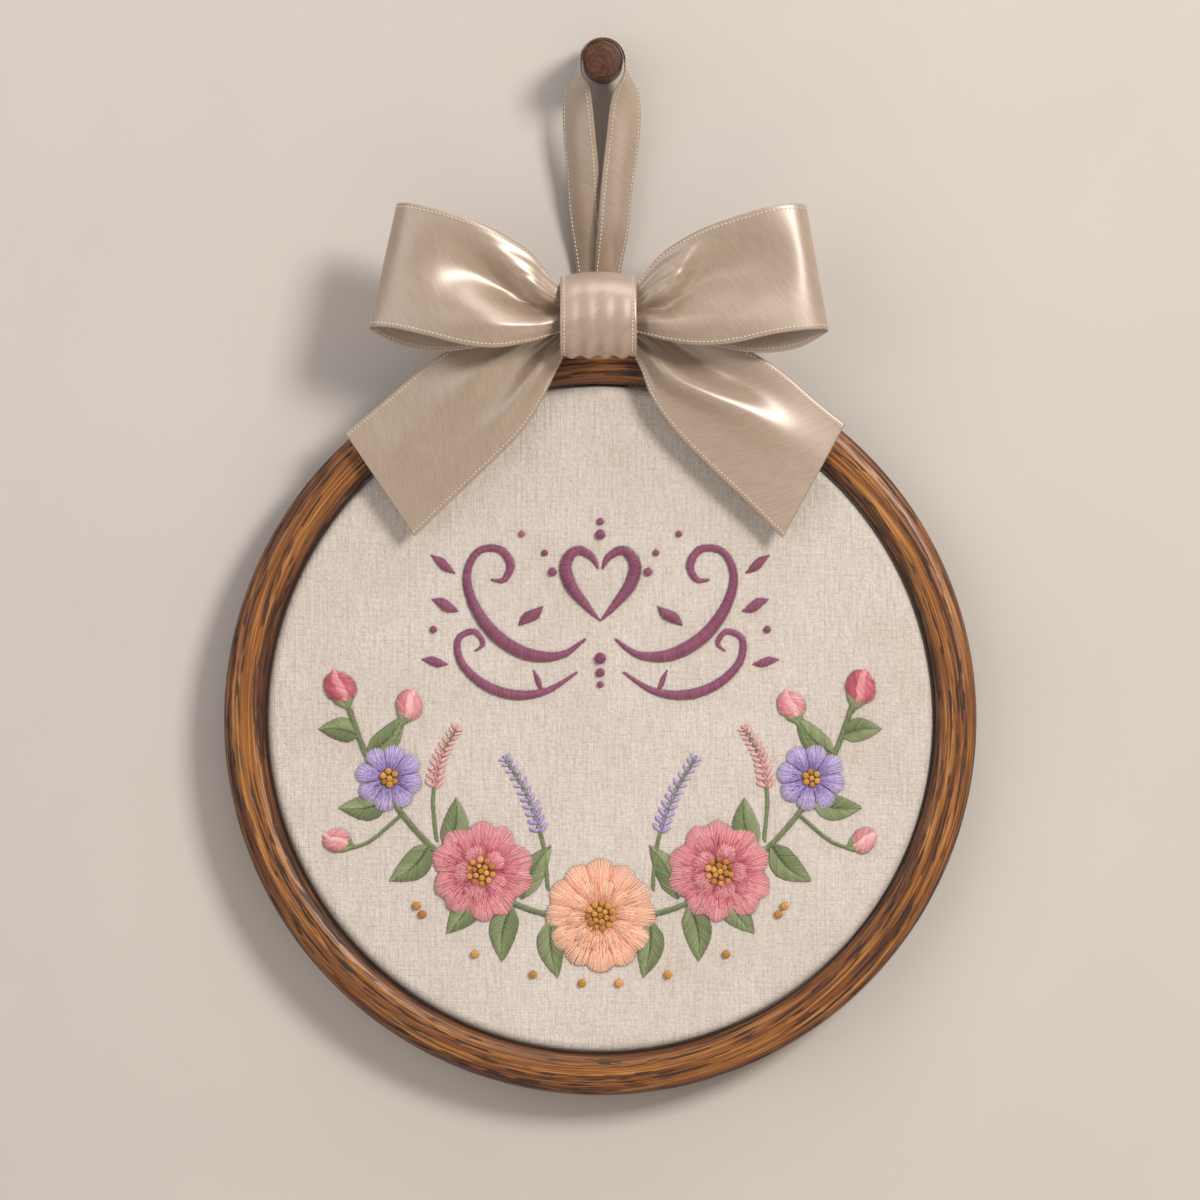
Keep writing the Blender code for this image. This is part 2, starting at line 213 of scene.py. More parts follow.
def walnut_material():
    """Oiled walnut dowel, sawn across: dark end grain with faint rings."""
    material, shader, add = new_material("oiled_walnut_dowel", IOR=1.5)
    place = add("TexCoord", out="Object")
    # the tree's heart lies a little off the dowel's middle
    moved = add("Mapping", {"Vector": place, "Location": (0.002, 0.0, 0.0025), "Scale": (1.0, 0.15, 1.0)})
    rings = add(
        "TexWave",
        {"Vector": moved, "Scale": 170.0, "Distortion": 3.0, "Detail": 2.0, "Detail Scale": 1.5},
        out="Fac",
        wave_type="RINGS",
        rings_direction="Y",
    )
    specks = add("TexNoise", {"Vector": place, "Scale": 1500.0, "Detail": 2.0})
    tone = add("TexNoise", {"Vector": place, "Scale": 260.0, "Detail": 3.0})
    colour = add("ValToRGB", [tone], stops=[(0.3, "#442410"), (0.7, "#6C3F20")])
    for share, source, stops in (
        (0.35, rings, [(0.2, "#6E4A34"), (0.9, "#FFFFFF")]),
        (0.6, specks, [(0.38, "#3A2114"), (0.5, "#FFFFFF")]),
    ):
        marks = add("ValToRGB", [source], stops=stops)
        colour = add("Mix", {0: share, 6: colour, 7: marks}, blend_type="MULTIPLY", **IN_COLOUR)
    rough = add("MapRange", {"Value": tone, "To Min": 0.38, "To Max": 0.56})
    bump = add("Bump", {"Height": specks, "Strength": 0.3, "Distance": 0.15 * MM})
    wire(shader, {"Base Color": colour, "Roughness": rough, "Normal": bump})
    return material


def linen_material():
    """Washed plain-weave linen: matt, warm greige, with upright slubs and a pebbled weave."""
    material, shader, add = new_material(
        "washed_plain_weave_linen", Roughness=0.92, IOR=1.45, Sheen_Weight=0.25, Sheen_Roughness=0.6
    )
    cloth = add("VectorMath", {0: add("TexCoord", out="Object"), "Scale": 1 / MM}, operation="SCALE")
    wobble = add("TexNoise", {"Vector": cloth, "Scale": 0.35, "Detail": 2.0}, out="Color")
    bent = add("VectorMath", [wobble, (0.9, 0.0, 0.9), cloth], operation="MULTIPLY_ADD")
    # real threads are about 0.45 mm apart; drawn at 0.8 so that they show
    pitch = 0.8
    threads = {"Vector": bent, "Scale": math.pi / (10 * pitch)}
    warp, weft = (add("TexWave", threads, out="Fac", bands_direction=axis) for axis in "XZ")
    weave = add("Math", [warp, weft], operation="MULTIPLY")
    # slubs: thick places in the yarn, about 9 mm long up the cloth and 8 mm across it
    upright, across = (
        add(
            "MapRange",
            {
                "Value": add(
                    "TexNoise",
                    {
                        "Vector": add("VectorMath", [cloth, stretch], operation="MULTIPLY"),
                        "Scale": 1.0,
                        "Detail": 2.0,
                        "Roughness": 0.6,
                    },
                ),
                "From Min": low,
                "From Max": high,
            },
        )
        for stretch, low, high in (
            ((1 / 0.9, 0.0, 1 / 9.0), 0.42, 0.68),
            ((1 / 8.0, 0.0, 1 / 0.9), 0.46, 0.7),
        )
    )
    pebble = add("TexNoise", {"Vector": cloth, "Scale": 0.95, "Detail": 2.0, "Roughness": 0.55})
    blotch = add("TexNoise", {"Vector": cloth, "Scale": 0.03, "Detail": 2.0})
    colour = add("ValToRGB", [blotch], stops=[(0.3, "#D2C8BF"), (0.7, "#DAD1CA")])
    for share, source, stops in (
        (0.34, upright, [(0.0, "#FFFFFF"), (1.0, "#D6C9BA")]),
        (0.2, across, [(0.0, "#FFFFFF"), (1.0, "#D6C9BA")]),
        (0.35, pebble, [(0.32, "#CBBDAE"), (0.6, "#FFFFFF")]),
    ):
        tint = add("ValToRGB", [source], stops=stops)
        colour = add("Mix", {0: share, 6: colour, 7: tint}, blend_type="MULTIPLY", **IN_COLOUR)
    height = add("Math", [weave, 0.3], operation="MULTIPLY")
    for source, rise in ((pebble, 1.1), (upright, 0.45), (across, 0.25)):
        height = add("Math", [source, rise, height], operation="MULTIPLY_ADD")
    bump = add("Bump", {"Height": height, "Strength": 0.7, "Distance": 0.32 * MM})
    wire(shader, {"Base Color": colour, "Normal": bump})
    return material


def satin_material():
    """Champagne polyester satin ribbon: a soft broad lustre, fine slanting weave lines."""
    material, shader, add = new_material(
        "champagne_satin_ribbon",
        IOR=1.5,
        Metallic=0.2,
        Specular_IOR_Level=0.7,
        Anisotropic=0.3,
        Coat_Weight=1.0,
        Coat_Roughness=0.42,
        Coat_IOR=2.0,
        Sheen_Weight=0.15,
        Sheen_Roughness=0.35,
    )
    cloth = add("UVMap", uv_map="cloth_mm")
    turned = add("Mapping", {"Vector": cloth, "Rotation": (0.0, 0.0, math.radians(32))})
    # floats of yarn, far finer in real satin, drawn 0.4 mm and 1.8 mm wide so that they show
    fine, coarse = (
        add(
            "TexNoise",
            {
                "Vector": add("VectorMath", [turned, stretch], operation="MULTIPLY"),
                "Scale": 1.0,
                "Detail": 2.0,
                "Distortion": distortion,
            },
        )
        for stretch, distortion in (((1 / 5.0, 1 / 0.4, 1.0), 0.0), ((1 / 16.0, 1 / 1.8, 1.0), 0.5))
    )
    tone = add("ValToRGB", [fine], stops=[(0.3, "#A18A72"), (0.5, "#A9917A"), (0.72, "#B29C87")])
    broad = add("ValToRGB", [coarse], stops=[(0.3, "#E4D6C8"), (0.7, "#FFFFFF")])
    colour = add("Mix", {0: 0.25, 6: tone, 7: broad}, blend_type="MULTIPLY", **IN_COLOUR)
    rough = add("MapRange", {"Value": fine, "To Min": 0.42, "To Max": 0.47})
    tangent = add("Tangent", direction_type="UV_MAP", uv_map="cloth_mm")
    height = add("Math", [coarse, 1.4, fine], operation="MULTIPLY_ADD")
    bump = add("Bump", {"Height": height, "Strength": 0.12, "Distance": 0.12 * MM})
    wire(shader, {"Base Color": colour, "Roughness": rough, "Normal": bump, "Tangent": tangent})
    return material


def thread_material(name, roughness):
    """Stranded cotton, washed and laid flat: a soft gloss along each stitch, dyed per stitch; the same
    attribute carries painted shade at the stitch ends and at the knots' feet and middles.
    """
    material, shader, add = new_material(
        name, Roughness=roughness, IOR=1.5, Specular_IOR_Level=0.4, Sheen_Weight=0.2, Sheen_Roughness=0.4
    )
    dye = add("Attribute", out="Color", attribute_name="thread_dye_and_shade")
    fuzz = add("TexNoise", {"Vector": add("TexCoord", out="Object"), "Scale": 2600.0, "Detail": 1.0})
    shade = add("ValToRGB", [fuzz], stops=[(0.3, "#B8B8B8"), (0.6, "#FFFFFF")])
    colour = add("Mix", {0: 0.35, 6: dye, 7: shade}, blend_type="MULTIPLY", **IN_COLOUR)
    wire(shader, {"Base Color": colour})
    return material


# ---------------------------------------------------------------- mesh helpers


def mesh_object(name, verts_mm, faces, material):
    """A piece from points in millimetres and an array or list of faces."""
    mesh = bpy.data.meshes.new(name)
    mesh.from_pydata([tuple(p) for p in np.asarray(verts_mm) * MM], [], [tuple(map(int, f)) for f in faces])
    mesh.materials.append(material)
    mesh.shade_smooth()
    made = bpy.data.objects.new(name, mesh)
    bpy.context.collection.objects.link(made)
    return made


def smooth_table(rows, steps, closed=False):
    """A smooth curve through the rows of a table, with some steps from each row to the next."""
    table = np.array(rows, float)
    count = len(table)
    made = []
    for index in range(count if closed else count - 1):
        places = [index + offset for offset in (-1, 0, 1, 2)]
        four = table[[p % count if closed else min(max(p, 0), count - 1) for p in places]]
        for t in np.arange(steps) / steps:
            weights = np.array(
                [
                    -t + 2 * t * t - t**3,
                    2 - 5 * t * t + 3 * t**3,
                    t + 4 * t * t - 3 * t**3,
                    -t * t + t**3,
                ]
            )
            made.append(0.5 * weights @ four)
    if not closed:
        made.append(table[-1])
    return np.array(made)


def grid_normals(grid, closed):
    """The direction out of a sheet at each point of its grid of rows."""
    if closed:
        along = np.roll(grid, -1, 0) - np.roll(grid, 1, 0)
    else:
        along = np.gradient(grid, axis=0)
    normals = np.cross(along, np.gradient(grid, axis=1))
    return normals / np.maximum(np.linalg.norm(normals, axis=2, keepdims=True), 1e-9)


def sheet_piece(name, grid, width_mm, material, closed=False):
    """A thin closed sheet round a grid of points, with its cloth coordinates in millimetres as UVs."""
    rows, across = grid.shape[:2]
    normals = grid_normals(grid, closed)
    taper = np.ones(across)
    taper[[0, -1]] = 0.45
    half = normals * (SATIN_SKIN / 2) * taper[None, :, None]
    verts = np.concatenate([(grid + half).reshape(-1, 3), (grid - half).reshape(-1, 3)])
    index = np.arange(rows * across).reshape(rows, across)
    after = np.roll(index, -1, 0) if closed else index[1:]
    index = index if closed else index[:-1]
    size = rows * across
    front = np.stack([index[:, :-1], index[:, 1:], after[:, 1:], after[:, :-1]], -1).reshape(-1, 4)
    back = front[:, ::-1] + size
    first = np.stack([index[:, 0], after[:, 0], after[:, 0] + size, index[:, 0] + size], -1)
    last = np.stack([index[:, -1], index[:, -1] + size, after[:, -1] + size, after[:, -1]], -1)
    faces = [front, back, first, last]
    if not closed:
        start = np.arange(across)
        end = start + (rows - 1) * across
        faces.append(np.stack([start[:-1], start[:-1] + size, start[1:] + size, start[1:]], -1))
        faces.append(np.stack([end[:-1], end[1:], end[1:] + size, end[:-1] + size], -1))
    faces = np.concatenate(faces)[:, ::-1]
    piece = mesh_object(name, verts, faces, material)
    length = np.linalg.norm(np.diff(grid[:, across // 2], axis=0), axis=1)
    run = np.concatenate([[0.0], np.cumsum(length)])
    u = np.tile(np.linspace(0, width_mm, across), rows)
    v = np.repeat(run, across)
    uv = np.tile(np.stack([u, v], -1), (2, 1))
    layer = piece.data.uv_layers.new(name="cloth_mm")
    corners = np.empty(len(piece.data.loops), np.int32)
    piece.data.loops.foreach_get("vertex_index", corners)
    places = uv[corners]
    if closed:
        # the faces that close the ring run on past its length instead of back to nought
        full = run[-1] + np.linalg.norm(grid[0, across // 2] - grid[-1, across // 2])
        quads = places.reshape(-1, 4, 2)
        wraps = np.ptp(quads[:, :, 1], axis=1) > full / 2
        lows = quads[:, :, 1] < full / 2
        quads[:, :, 1] += np.where(wraps[:, None] & lows, full, 0.0)
        places = quads.reshape(-1, 2)
    layer.data.foreach_set("uv", places.astype(np.float32).ravel())
    return piece


class Threads:
    """Stitches gathered for one joined mesh. Each is a low closed sliver with a rounded back."""

    STATIONS = (0.12, 0.5, 0.88)
    RISE = (0.72, 1.0, 0.72)
    GIRTH = (0.88, 1.0, 0.88)

    def __init__(self):
        self.rows = []

    def add(self, start, end, out, width, rise, dye):
        self.rows.append((*start, *end, *out, width, rise, *dye[:3]))

    def piece(self, name, material):
        data = np.array(self.rows, float)
        start, end, out = data[:, 0:3], data[:, 3:6], data[:, 6:9]
        width, rise, dye = data[:, 9:10], data[:, 10:11], data[:, 11:14]
        run = end - start
        side = np.cross(run, out)
        side /= np.maximum(np.linalg.norm(side, axis=1, keepdims=True), 1e-9)
        rings = [start[:, None]]
        for place, high, wide in zip(self.STATIONS, self.RISE, self.GIRTH):
            middle = start + run * place + out * rise * high
            rings.append(
                np.stack(
                    [
                        middle - side * width * wide / 2,
                        middle + out * width * 0.42,
                        middle + side * width * wide / 2,
                    ],
                    1,
                )
            )
        rings.append(end[:, None])
        verts = np.concatenate(rings, 1)
        per = verts.shape[1]
        faces = []
        for ring in range(len(self.STATIONS)):
            base = 1 + 3 * ring
            for edge in range(3):
                other = (edge + 1) % 3
                if ring == 0:
                    faces.append((0, base + edge, base + other))
                if ring < len(self.STATIONS) - 1:
                    faces.append((base + edge, base + 3 + edge, base + 3 + other))
                    faces.append((base + edge, base + 3 + other, base + other))
                else:
                    faces.append((base + edge, per - 1, base + other))
        faces = np.array(faces)[:, ::-1]
        count = len(data)
        every = (faces[None] + np.arange(count)[:, None, None] * per).reshape(-1, 3)
        made = mesh_object(name, verts.reshape(-1, 3), every, material)
        layer = made.data.color_attributes.new("thread_dye_and_shade", "FLOAT_COLOR", "POINT")
        # painted shade: both end points of every stitch are darkened to 0.72 of its dye, where the thread
        # dives into the cloth
        ends = np.ones(per)
        ends[[0, -1]] = 0.72
        shade = dye[:, None] * ends[None, :, None]
        rgba = np.concatenate([shade, np.ones((count, per, 1))], 2)
        layer.data.foreach_set("color", rgba.astype(np.float32).ravel())
        return made


def hem_stitches(threads, grid, width_mm, closed):
    """A line of small stitches along a ribbon's edges, lying on both faces of the sheet."""
    across = grid.shape[1]
    colour = linear(HEM_DYE)
    normals = grid_normals(grid, closed)
    place = HEM / width_mm * (across - 1)
    low = int(place)
    mix = place - low
    for side in (0, 1):
        cols = (low, low + 1) if side == 0 else (across - 1 - low, across - 2 - low)
        line = grid[:, cols[0]] * (1 - mix) + grid[:, cols[1]] * mix
        outs = normals[:, cols[0]]
        if closed:
            line = np.concatenate([line, line[:1]])
            outs = np.concatenate([outs, outs[:1]])
        steps = np.linalg.norm(np.diff(line, axis=0), axis=1)
        run = np.concatenate([[0.0], np.cumsum(steps)])
        count = int(run[-1] / HEM_PITCH)
        for index in range(count):
            span = [(index + s) * run[-1] / count for s in (0.12, 0.86)]
            points = [np.array([np.interp(s, run, line[:, k]) for k in range(3)]) for s in span]
            out = np.array([np.interp(sum(span) / 2, run, outs[:, k]) for k in range(3)])
            out /= np.linalg.norm(out)
            for face in (1, -1):
                lift = out * face * (SATIN_SKIN / 2 - HEM_SUNK)
                threads.add(points[0] + lift, points[1] + lift, out * face, HEM_THREAD, HEM_RISE, colour)


# ---------------------------------------------------------------- wood


def deselect_all():
    for item in bpy.context.selected_objects:
        item.select_set(False)


def turned_bar(name, inside, outside, back, front, rounding, material, steps=288):
    """A wooden ring: a bar's section with rounded corners, spun round the hoop's axis."""
    deselect_all()
    middle = ((inside + outside) / 2, -(back + front) / 2)
    place = ((HOOP_X + middle[0]) * MM, middle[1] * MM, HOOP_Z * MM)
    bpy.ops.mesh.primitive_plane_add(size=1.0, location=place)
    ring = bpy.context.object
    ring.name = name
    ring.scale = ((outside - inside) * MM, (front - back) * MM, 1.0)
    bpy.ops.object.transform_apply(location=True, rotation=True, scale=True)
    bpy.ops.object.mode_set(mode="EDIT")
    bpy.ops.mesh.select_all(action="SELECT")
    bpy.ops.mesh.bevel(offset=rounding * MM, segments=7, affect="VERTICES", profile=0.5)
    bpy.ops.mesh.select_all(action="SELECT")
    bpy.ops.mesh.delete(type="ONLY_FACE")
    bpy.ops.mesh.select_all(action="SELECT")
    centre = (HOOP_X * MM, 0.0, HOOP_Z * MM)
    bpy.ops.mesh.spin(steps=steps, angle=2 * math.pi, center=centre, axis=(0.0, 1.0, 0.0))
    bpy.ops.mesh.select_all(action="SELECT")
    bpy.ops.mesh.remove_doubles(threshold=0.000001)
    bpy.ops.mesh.normals_make_consistent(inside=False)
    bpy.ops.object.mode_set(mode="OBJECT")
    bpy.ops.object.transform_apply(location=True, rotation=True, scale=True)
    ring.data.shade_smooth()
    ring.data.materials.append(material)
    return ring


def make_hoops():
    inside = RING_RADIUS - RING_BAR
    outer = turned_bar("oak_hoop", inside, RING_RADIUS, RING_BACK, RING_FRONT, OAK_ROUNDING, oak_material())
    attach(outer, "root")
    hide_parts("outer_hoop")
    inner_out = (INNER_HIGH[0] - INNER_LOW[0]) / 2
    inner = turned_bar(
        "beech_inner_hoop",
        inner_out - BEECH_BAR,
        inner_out,
        -INNER_HIGH[1],
        -INNER_LOW[1],
        BEECH_ROUNDING,
        beech_material(),
        192,
    )
    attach(inner, "root")
    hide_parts("inner_hoop")


def make_peg():
    deselect_all()
    length = -PEG_LOW[1]
    bpy.ops.mesh.primitive_cylinder_add(
        vertices=72,
        radius=PEG_HIGH[0] * MM,
        depth=length * MM,
        location=(0.0, -length / 2 * MM, 0.0),
        rotation=(math.pi / 2, 0.0, 0.0),
    )
    peg = bpy.context.object
    peg.name = "walnut_peg"
    bpy.ops.object.transform_apply(location=True, rotation=True, scale=True)
    bpy.ops.object.mode_set(mode="EDIT")
    bpy.ops.mesh.select_mode(type="FACE")
    bpy.ops.mesh.select_all(action="DESELECT")
    bpy.ops.object.mode_set(mode="OBJECT")
    for face in peg.data.polygons:
        face.select = face.normal.y < -0.9
    bpy.ops.object.mode_set(mode="EDIT")
    bpy.ops.mesh.bevel(offset=PEG_CHAMFER * MM, segments=4, affect="EDGES")
    bpy.ops.mesh.inset(thickness=PEG_RIM * MM)
    bpy.ops.transform.translate(value=(0.0, PEG_DISH * MM, 0.0))
    bpy.ops.object.mode_set(mode="OBJECT")
    peg.data.shade_smooth()
    peg.data.set_sharp_from_angle(angle=math.radians(50))
    peg.data.materials.append(walnut_material())
    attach(peg, "root")
    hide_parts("peg")


# ---------------------------------------------------------------- linen


def make_linen(material):
    """The stretched round, its rim rolled over the inner hoop and its border turned back."""
    face = LINEN_FACE - LINEN_SKIN / 2
    rim = LINEN_RADIUS - LINEN_CORNER
    profile = [(r, face) for r in np.linspace(0.4, rim - 0.4, 60)]
    for angle in np.radians(np.linspace(0, 90, 9)):
        drop = LINEN_CORNER - LINEN_CORNER * math.cos(angle)
        profile.append((rim + LINEN_CORNER * math.sin(angle), face - drop))
    back = -LINEN_HIGH[1]
    profile += [(LINEN_RADIUS, d) for d in np.linspace(face - LINEN_CORNER - 0.6, back, 6)]
    profile = np.array(profile)
    turns = 256
    angles = np.arange(turns) * 2 * math.pi / turns
    verts = [(HOOP_X, -face, HOOP_Z)]
    for radius, depth in profile:
        for angle in angles:
            # faint pulls where the inner hoop grips the cloth
            pull = 0.1 * math.sin(angle * 23 + 1.3 * math.sin(angle * 5)) * max(0.0, (radius - 70) / 30)
            verts.append(
                (
                    HOOP_X + radius * math.sin(angle),
                    -depth - (pull if radius < rim else 0.0),
                    HOOP_Z + radius * math.cos(angle),
                )
            )
    faces = []
    for turn in range(turns):
        after = (turn + 1) % turns
        faces.append((0, 1 + after, 1 + turn))
        for ring in range(len(profile) - 1):
            a = 1 + ring * turns
            b = a + turns
            faces.append((a + turn, a + after, b + after, b + turn))
    linen = mesh_object("linen_ground", verts, faces, material)
    skin = linen.modifiers.new("skin", "SOLIDIFY")
    skin.thickness = LINEN_SKIN * MM
    skin.offset = 0.0
    deselect_all()
    linen.select_set(True)
    bpy.context.view_layer.objects.active = linen
    bpy.ops.object.modifier_apply(modifier="skin")
    bpy.ops.object.mode_set(mode="EDIT")
    bpy.ops.mesh.select_all(action="SELECT")
    bpy.ops.mesh.normals_make_consistent(inside=False)
    bpy.ops.object.mode_set(mode="OBJECT")
    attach(linen, "root")
    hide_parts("linen")


# ---------------------------------------------------------------- ribbons

# A ribbon's section: its top and low edges, its depth, its crown and up to two folds along it.
# A fold has its place across the ribbon (0 top edge, 1 low edge), its half width and its rise.
# The gather is how strongly the knot creases it.
Section = namedtuple(
    "Section", "x_top z_top x_low z_low depth crown at wide rise at_2 wide_2 rise_2 gather"
)

LEFT_LOOP = [
    (-1.4, -70.6, -1.4, -83.2, 31.2, 0, 0.55, 0.1, -1.2, 0.8, 0.12, 0.4, 0.3),
    (-8, -70.2, -8, -83.4, 31, 0.6, 0.55, 0.1, -2.6, 0.8, 0.12, 1, 0.3),
    (-13.4, -68.9, -13.4, -83.6, 31.6, 1.6, 0.55, 0.1, -4.2, 0.8, 0.12, 1.4, 0.3),
    (-18, -64, -18, -85.4, 33.2, 2.6, 0.58, 0.12, -7, 0.84, 0.11, 1.6, 0.2),
    (-22.8, -58.8, -22.8, -86.8, 35, 3.2, 0.56, 0.15, -8.4, 0.84, 0.12, 1.8, 0.2),
    (-32.1, -53.2, -32.1, -88.4, 37.4, 3.4, 0.46, 0.19, -8.6, 0.82, 0.14, 1.6, 0.1),
    (-41.4, -49.2, -41.6, -87.7, 38.6, 2.6, 0.42, 0.24, -6.4, 0.8, 0.18, 1, 0),
    (-50.8, -46.3, -52.5, -85, 38.4, 1.8, 0.48, 0.3, -2.8, 0.8, 0.2, 0.3, 0),
    (-58.4, -44.7, -63, -82.6, 36.6, 1, 0.5, 0.3, -0.6, 0.8, 0.2, 0, 0),
    (-62, -44.5, -69.9, -82, 33.4, 0.2, 0.5, 0.3, 0, 0.8, 0.2, 0, 0),
    (-61.4, -45.2, -69.6, -83.4, 30.4, 0, 0.5, 0.3, 0, 0.8, 0.2, 0, 0),
    (-56.2, -47.2, -61.6, -87.4, 28.2, 0, 0.5, 0.3, 0, 0.8, 0.2, 0, 0),
    (-46, -50.5, -49.6, -89.3, 27.6, 0, 0.5, 0.3, 0, 0.8, 0.2, 0, 0),
    (-33, -56, -34, -87.4, 27.4, 0, 0.5, 0.3, 0.6, 0.8, 0.2, 0, 0.1),
    (-22, -63, -22, -84.6, 27.2, 0, 0.5, 0.2, 0.8, 0.8, 0.2, 0, 0.2),
    (-12, -69.8, -12, -82.6, 27, 0, 0.5, 0.2, 0.8, 0.8, 0.2, 0, 0.3),
]
RIGHT_LOOP = [
    (-1.4, -70.6, -1.4, -82.6, 27, 0, 0.5, 0.2, 0.8, 0.78, 0.2, 0, 0.3),
    (9.4, -69.8, 9.4, -82.6, 27, 0, 0.5, 0.2, 0.8, 0.78, 0.2, 0, 0.3),
    (20, -62.6, 20, -84.6, 27.2, 0, 0.5, 0.2, 0.6, 0.78, 0.2, 0, 0.2),
    (32, -55.6, 32.6, -87.4, 27.4, 0, 0.5, 0.3, 0.4, 0.78, 0.2, 0, 0.1),
    (44.6, -50.4, 46.4, -89.6, 27.6, 0, 0.45, 0.3, 0, 0.78, 0.2, 0, 0),
    (54.6, -47.2, 58.4, -88.4, 28.2, 0, 0.45, 0.3, 0, 0.78, 0.2, 0, 0),
    (60.4, -45.6, 66.6, -84.4, 30.4, 0, 0.45, 0.3, 0, 0.78, 0.2, 0, 0),
    (61, -45, 67.8, -82.9, 33.4, 0.2, 0.45, 0.3, 0, 0.78, 0.2, 0, 0),
    (57.2, -44.9, 62, -83, 36.8, 0.8, 0.45, 0.3, -0.3, 0.78, 0.2, 0, 0),
    (49.6, -46, 51.4, -84.4, 38.6, 1.4, 0.44, 0.3, -3, 0.78, 0.2, 0, 0),
    (39, -49.1, 39.6, -87, 38.4, 2.2, 0.42, 0.28, -5.8, 0.8, 0.16, 0.8, 0),
    (29, -52.9, 29, -87.7, 36.8, 3, 0.44, 0.24, -7, 0.84, 0.12, 1.4, 0.1),
    (19.6, -58.4, 19.6, -86.2, 34.6, 3.2, 0.62, 0.12, -5.8, 0.84, 0.11, 1.8, 0.2),
    (14.4, -63.4, 14.4, -84.8, 33, 2.4, 0.6, 0.09, -5, 0.82, 0.11, 1.6, 0.2),
    (10.6, -68.2, 10.6, -83.8, 31.6, 1.6, 0.58, 0.08, -3.2, 0.8, 0.12, 1, 0.3),
    (5.2, -70.2, 5.2, -83.4, 31, 0.6, 0.56, 0.08, -2.2, 0.8, 0.12, 0.8, 0.3),
]
TAILS = [
    (-78.6, -113.7, -57.3, -145.3, 21.4, 0.3, 0.35, 0.25, 0.3, 0.78, 0.15, 0, 0),
    (-74, -109.9, -51, -139.2, 21.5, 0.6, 0.35, 0.25, 0.5, 0.78, 0.15, 0.1, 0),
    (-69.3, -106.1, -44.6, -133, 21.6, 0.8, 0.35, 0.25, 1.2, 0.78, 0.15, 0.4, 0),
    (-58.6, -97, -32.6, -121.6, 21.9, 1, 0.35, 0.22, 1.2, 0.78, 0.14, 0.8, 0),
    (-48.6, -89.4, -23.4, -111.9, 22, 1, 0.34, 0.2, 3.2, 0.78, 0.12, 2.6, 0),
    (-37, -83.6, -18, -102.8, 22, 0.8, 0.34, 0.18, 3, 0.77, 0.12, 3.6, 0.1),
    (-24, -78.8, -13.4, -93.6, 22, 0.6, 0.34, 0.16, 1.4, 0.76, 0.13, 3, 0.2),
    (-12.4, -75.6, -9.8, -88.4, 22, 0.2, 0.34, 0.16, 0.2, 0.76, 0.14, 0.8, 0.3),
    (-1.4, -74.6, -1.4, -87, 21.8, 0, 0.34, 0.16, 0, 0.76, 0.14, 0.4, 0.3),
    (9.6, -75.6, 7.4, -88.4, 22, 0.2, 0.34, 0.14, -0.4, 0.74, 0.14, 0.8, 0.3),
    (20.6, -78.8, 11.2, -93.8, 22, 0.6, 0.34, 0.14, -1.4, 0.72, 0.13, 3, 0.2),
    (34, -83.6, 14.8, -103.2, 22.2, 0.8, 0.34, 0.15, -2, 0.68, 0.13, 4.6, 0.1),
    (45.4, -89.2, 21.4, -112.8, 22.2, 0.9, 0.3, 0.13, -2, 0.56, 0.13, 4.6, 0),
    (55, -95.6, 31.2, -123, 22, 0.9, 0.26, 0.13, -0.8, 0.44, 0.15, 3, 0),
    (64.8, -104.1, 43.6, -134.8, 21.7, 0.7, 0.26, 0.13, 0, 0.36, 0.16, 0.7, 0),
    (73.7, -111.2, 54.7, -145.9, 21.4, 0.4, 0.26, 0.13, 0, 0.32, 0.16, 0.2, 0),
]

# A line across the hanging ribbon: its middle, width, the way it faces (in degrees) and its cupping.
Leg = namedtuple("Leg", "x z depth width facing cup")

LEFT_LEG = [
    (-7.4, -4.2, 12.4, 12, 9, 0.1),
    (-7.7, -8, 12.3, 12, 34, 0.4),
    (-7.8, -12.5, 11.8, 12, 47, 0.9),
    (-7.1, -23, 10.2, 11.5, 57, 1.7),
    (-6.2, -32, 8.4, 11, 62, 2.2),
    (-5.6, -46, 5.2, 10, 72, 2.1),
    (-3.6, -64, 1.9, 9, 87, 0.9),
    (-3.4, -75, 1.7, 9, 90, 0.5),
    (-3.8, -90, 1.7, 9.5, 90, 0.4),
    (-4, -103, 1.7, 10, 90, 0.2),
]
RIGHT_LEG = [
    (7.4, -4.2, 12.4, 12, 9, 0.1),
    (7.4, -8, 12.3, 12, 32, 0.4),
    (6.9, -13, 11.9, 12, 49, 0.9),
    (6.1, -23, 10.6, 11.5, 62, 1.7),
    (4.2, -38, 8.8, 10.8, 64, 2.2),
    (3, -52, 7, 10, 72, 2.2),
    (1.4, -65, 4.4, 8, 87, 0.9),
    (1.6, -75, 3.6, 9, 90, 0.5),
    (2.4, -90, 3.6, 9.5, 90, 0.4),
    (2.8, -103, 3.6, 10, 90, 0.2),
]
HANGER_WIDTH = 12.0
HANGER_DEPTH = 12.5
HANGER_OFF_PEG = 0.9
LEG_STEPS = 8

# The band's way round the knot, from behind: depth, z, width and how strongly it is pleated.
BAND = [
    (7.4, -83.6, 19, 0),
    (7.4, -76, 20, 0),
    (8.6, -69.4, 21, 0),
    (13, -66, 22.4, 0),
    (22, -65, 23.2, 0),
    (30.6, -66.2, 23.2, 0.1),
    (36, -71.4, 23.2, 0.2),
    (37.8, -79, 23.2, 0.4),
    (36.6, -86, 23.2, 0.8),
    (33.2, -90.6, 23, 1),
    (29.6, -91.3, 22.6, 0.8),
]
BAND_STEPS = 8
BAND_ACROSS = 48
BAND_DROOP = 1.6
BAND_PLEATS = 2.2
PLEAT_DEPTH = 0.55
SCALLOP = 1.1
RIBBON_WIDTH = 38.0
BAND_RIBBON = 25.0
RIBBON_ACROSS = 72
CREASE = 0.55
HEM = 1.3
HEM_PITCH = 1.25
HEM_THREAD = 0.42
HEM_RISE = 0.1
HEM_SUNK = 0.03
HEM_DYE = "#E9DCCB"


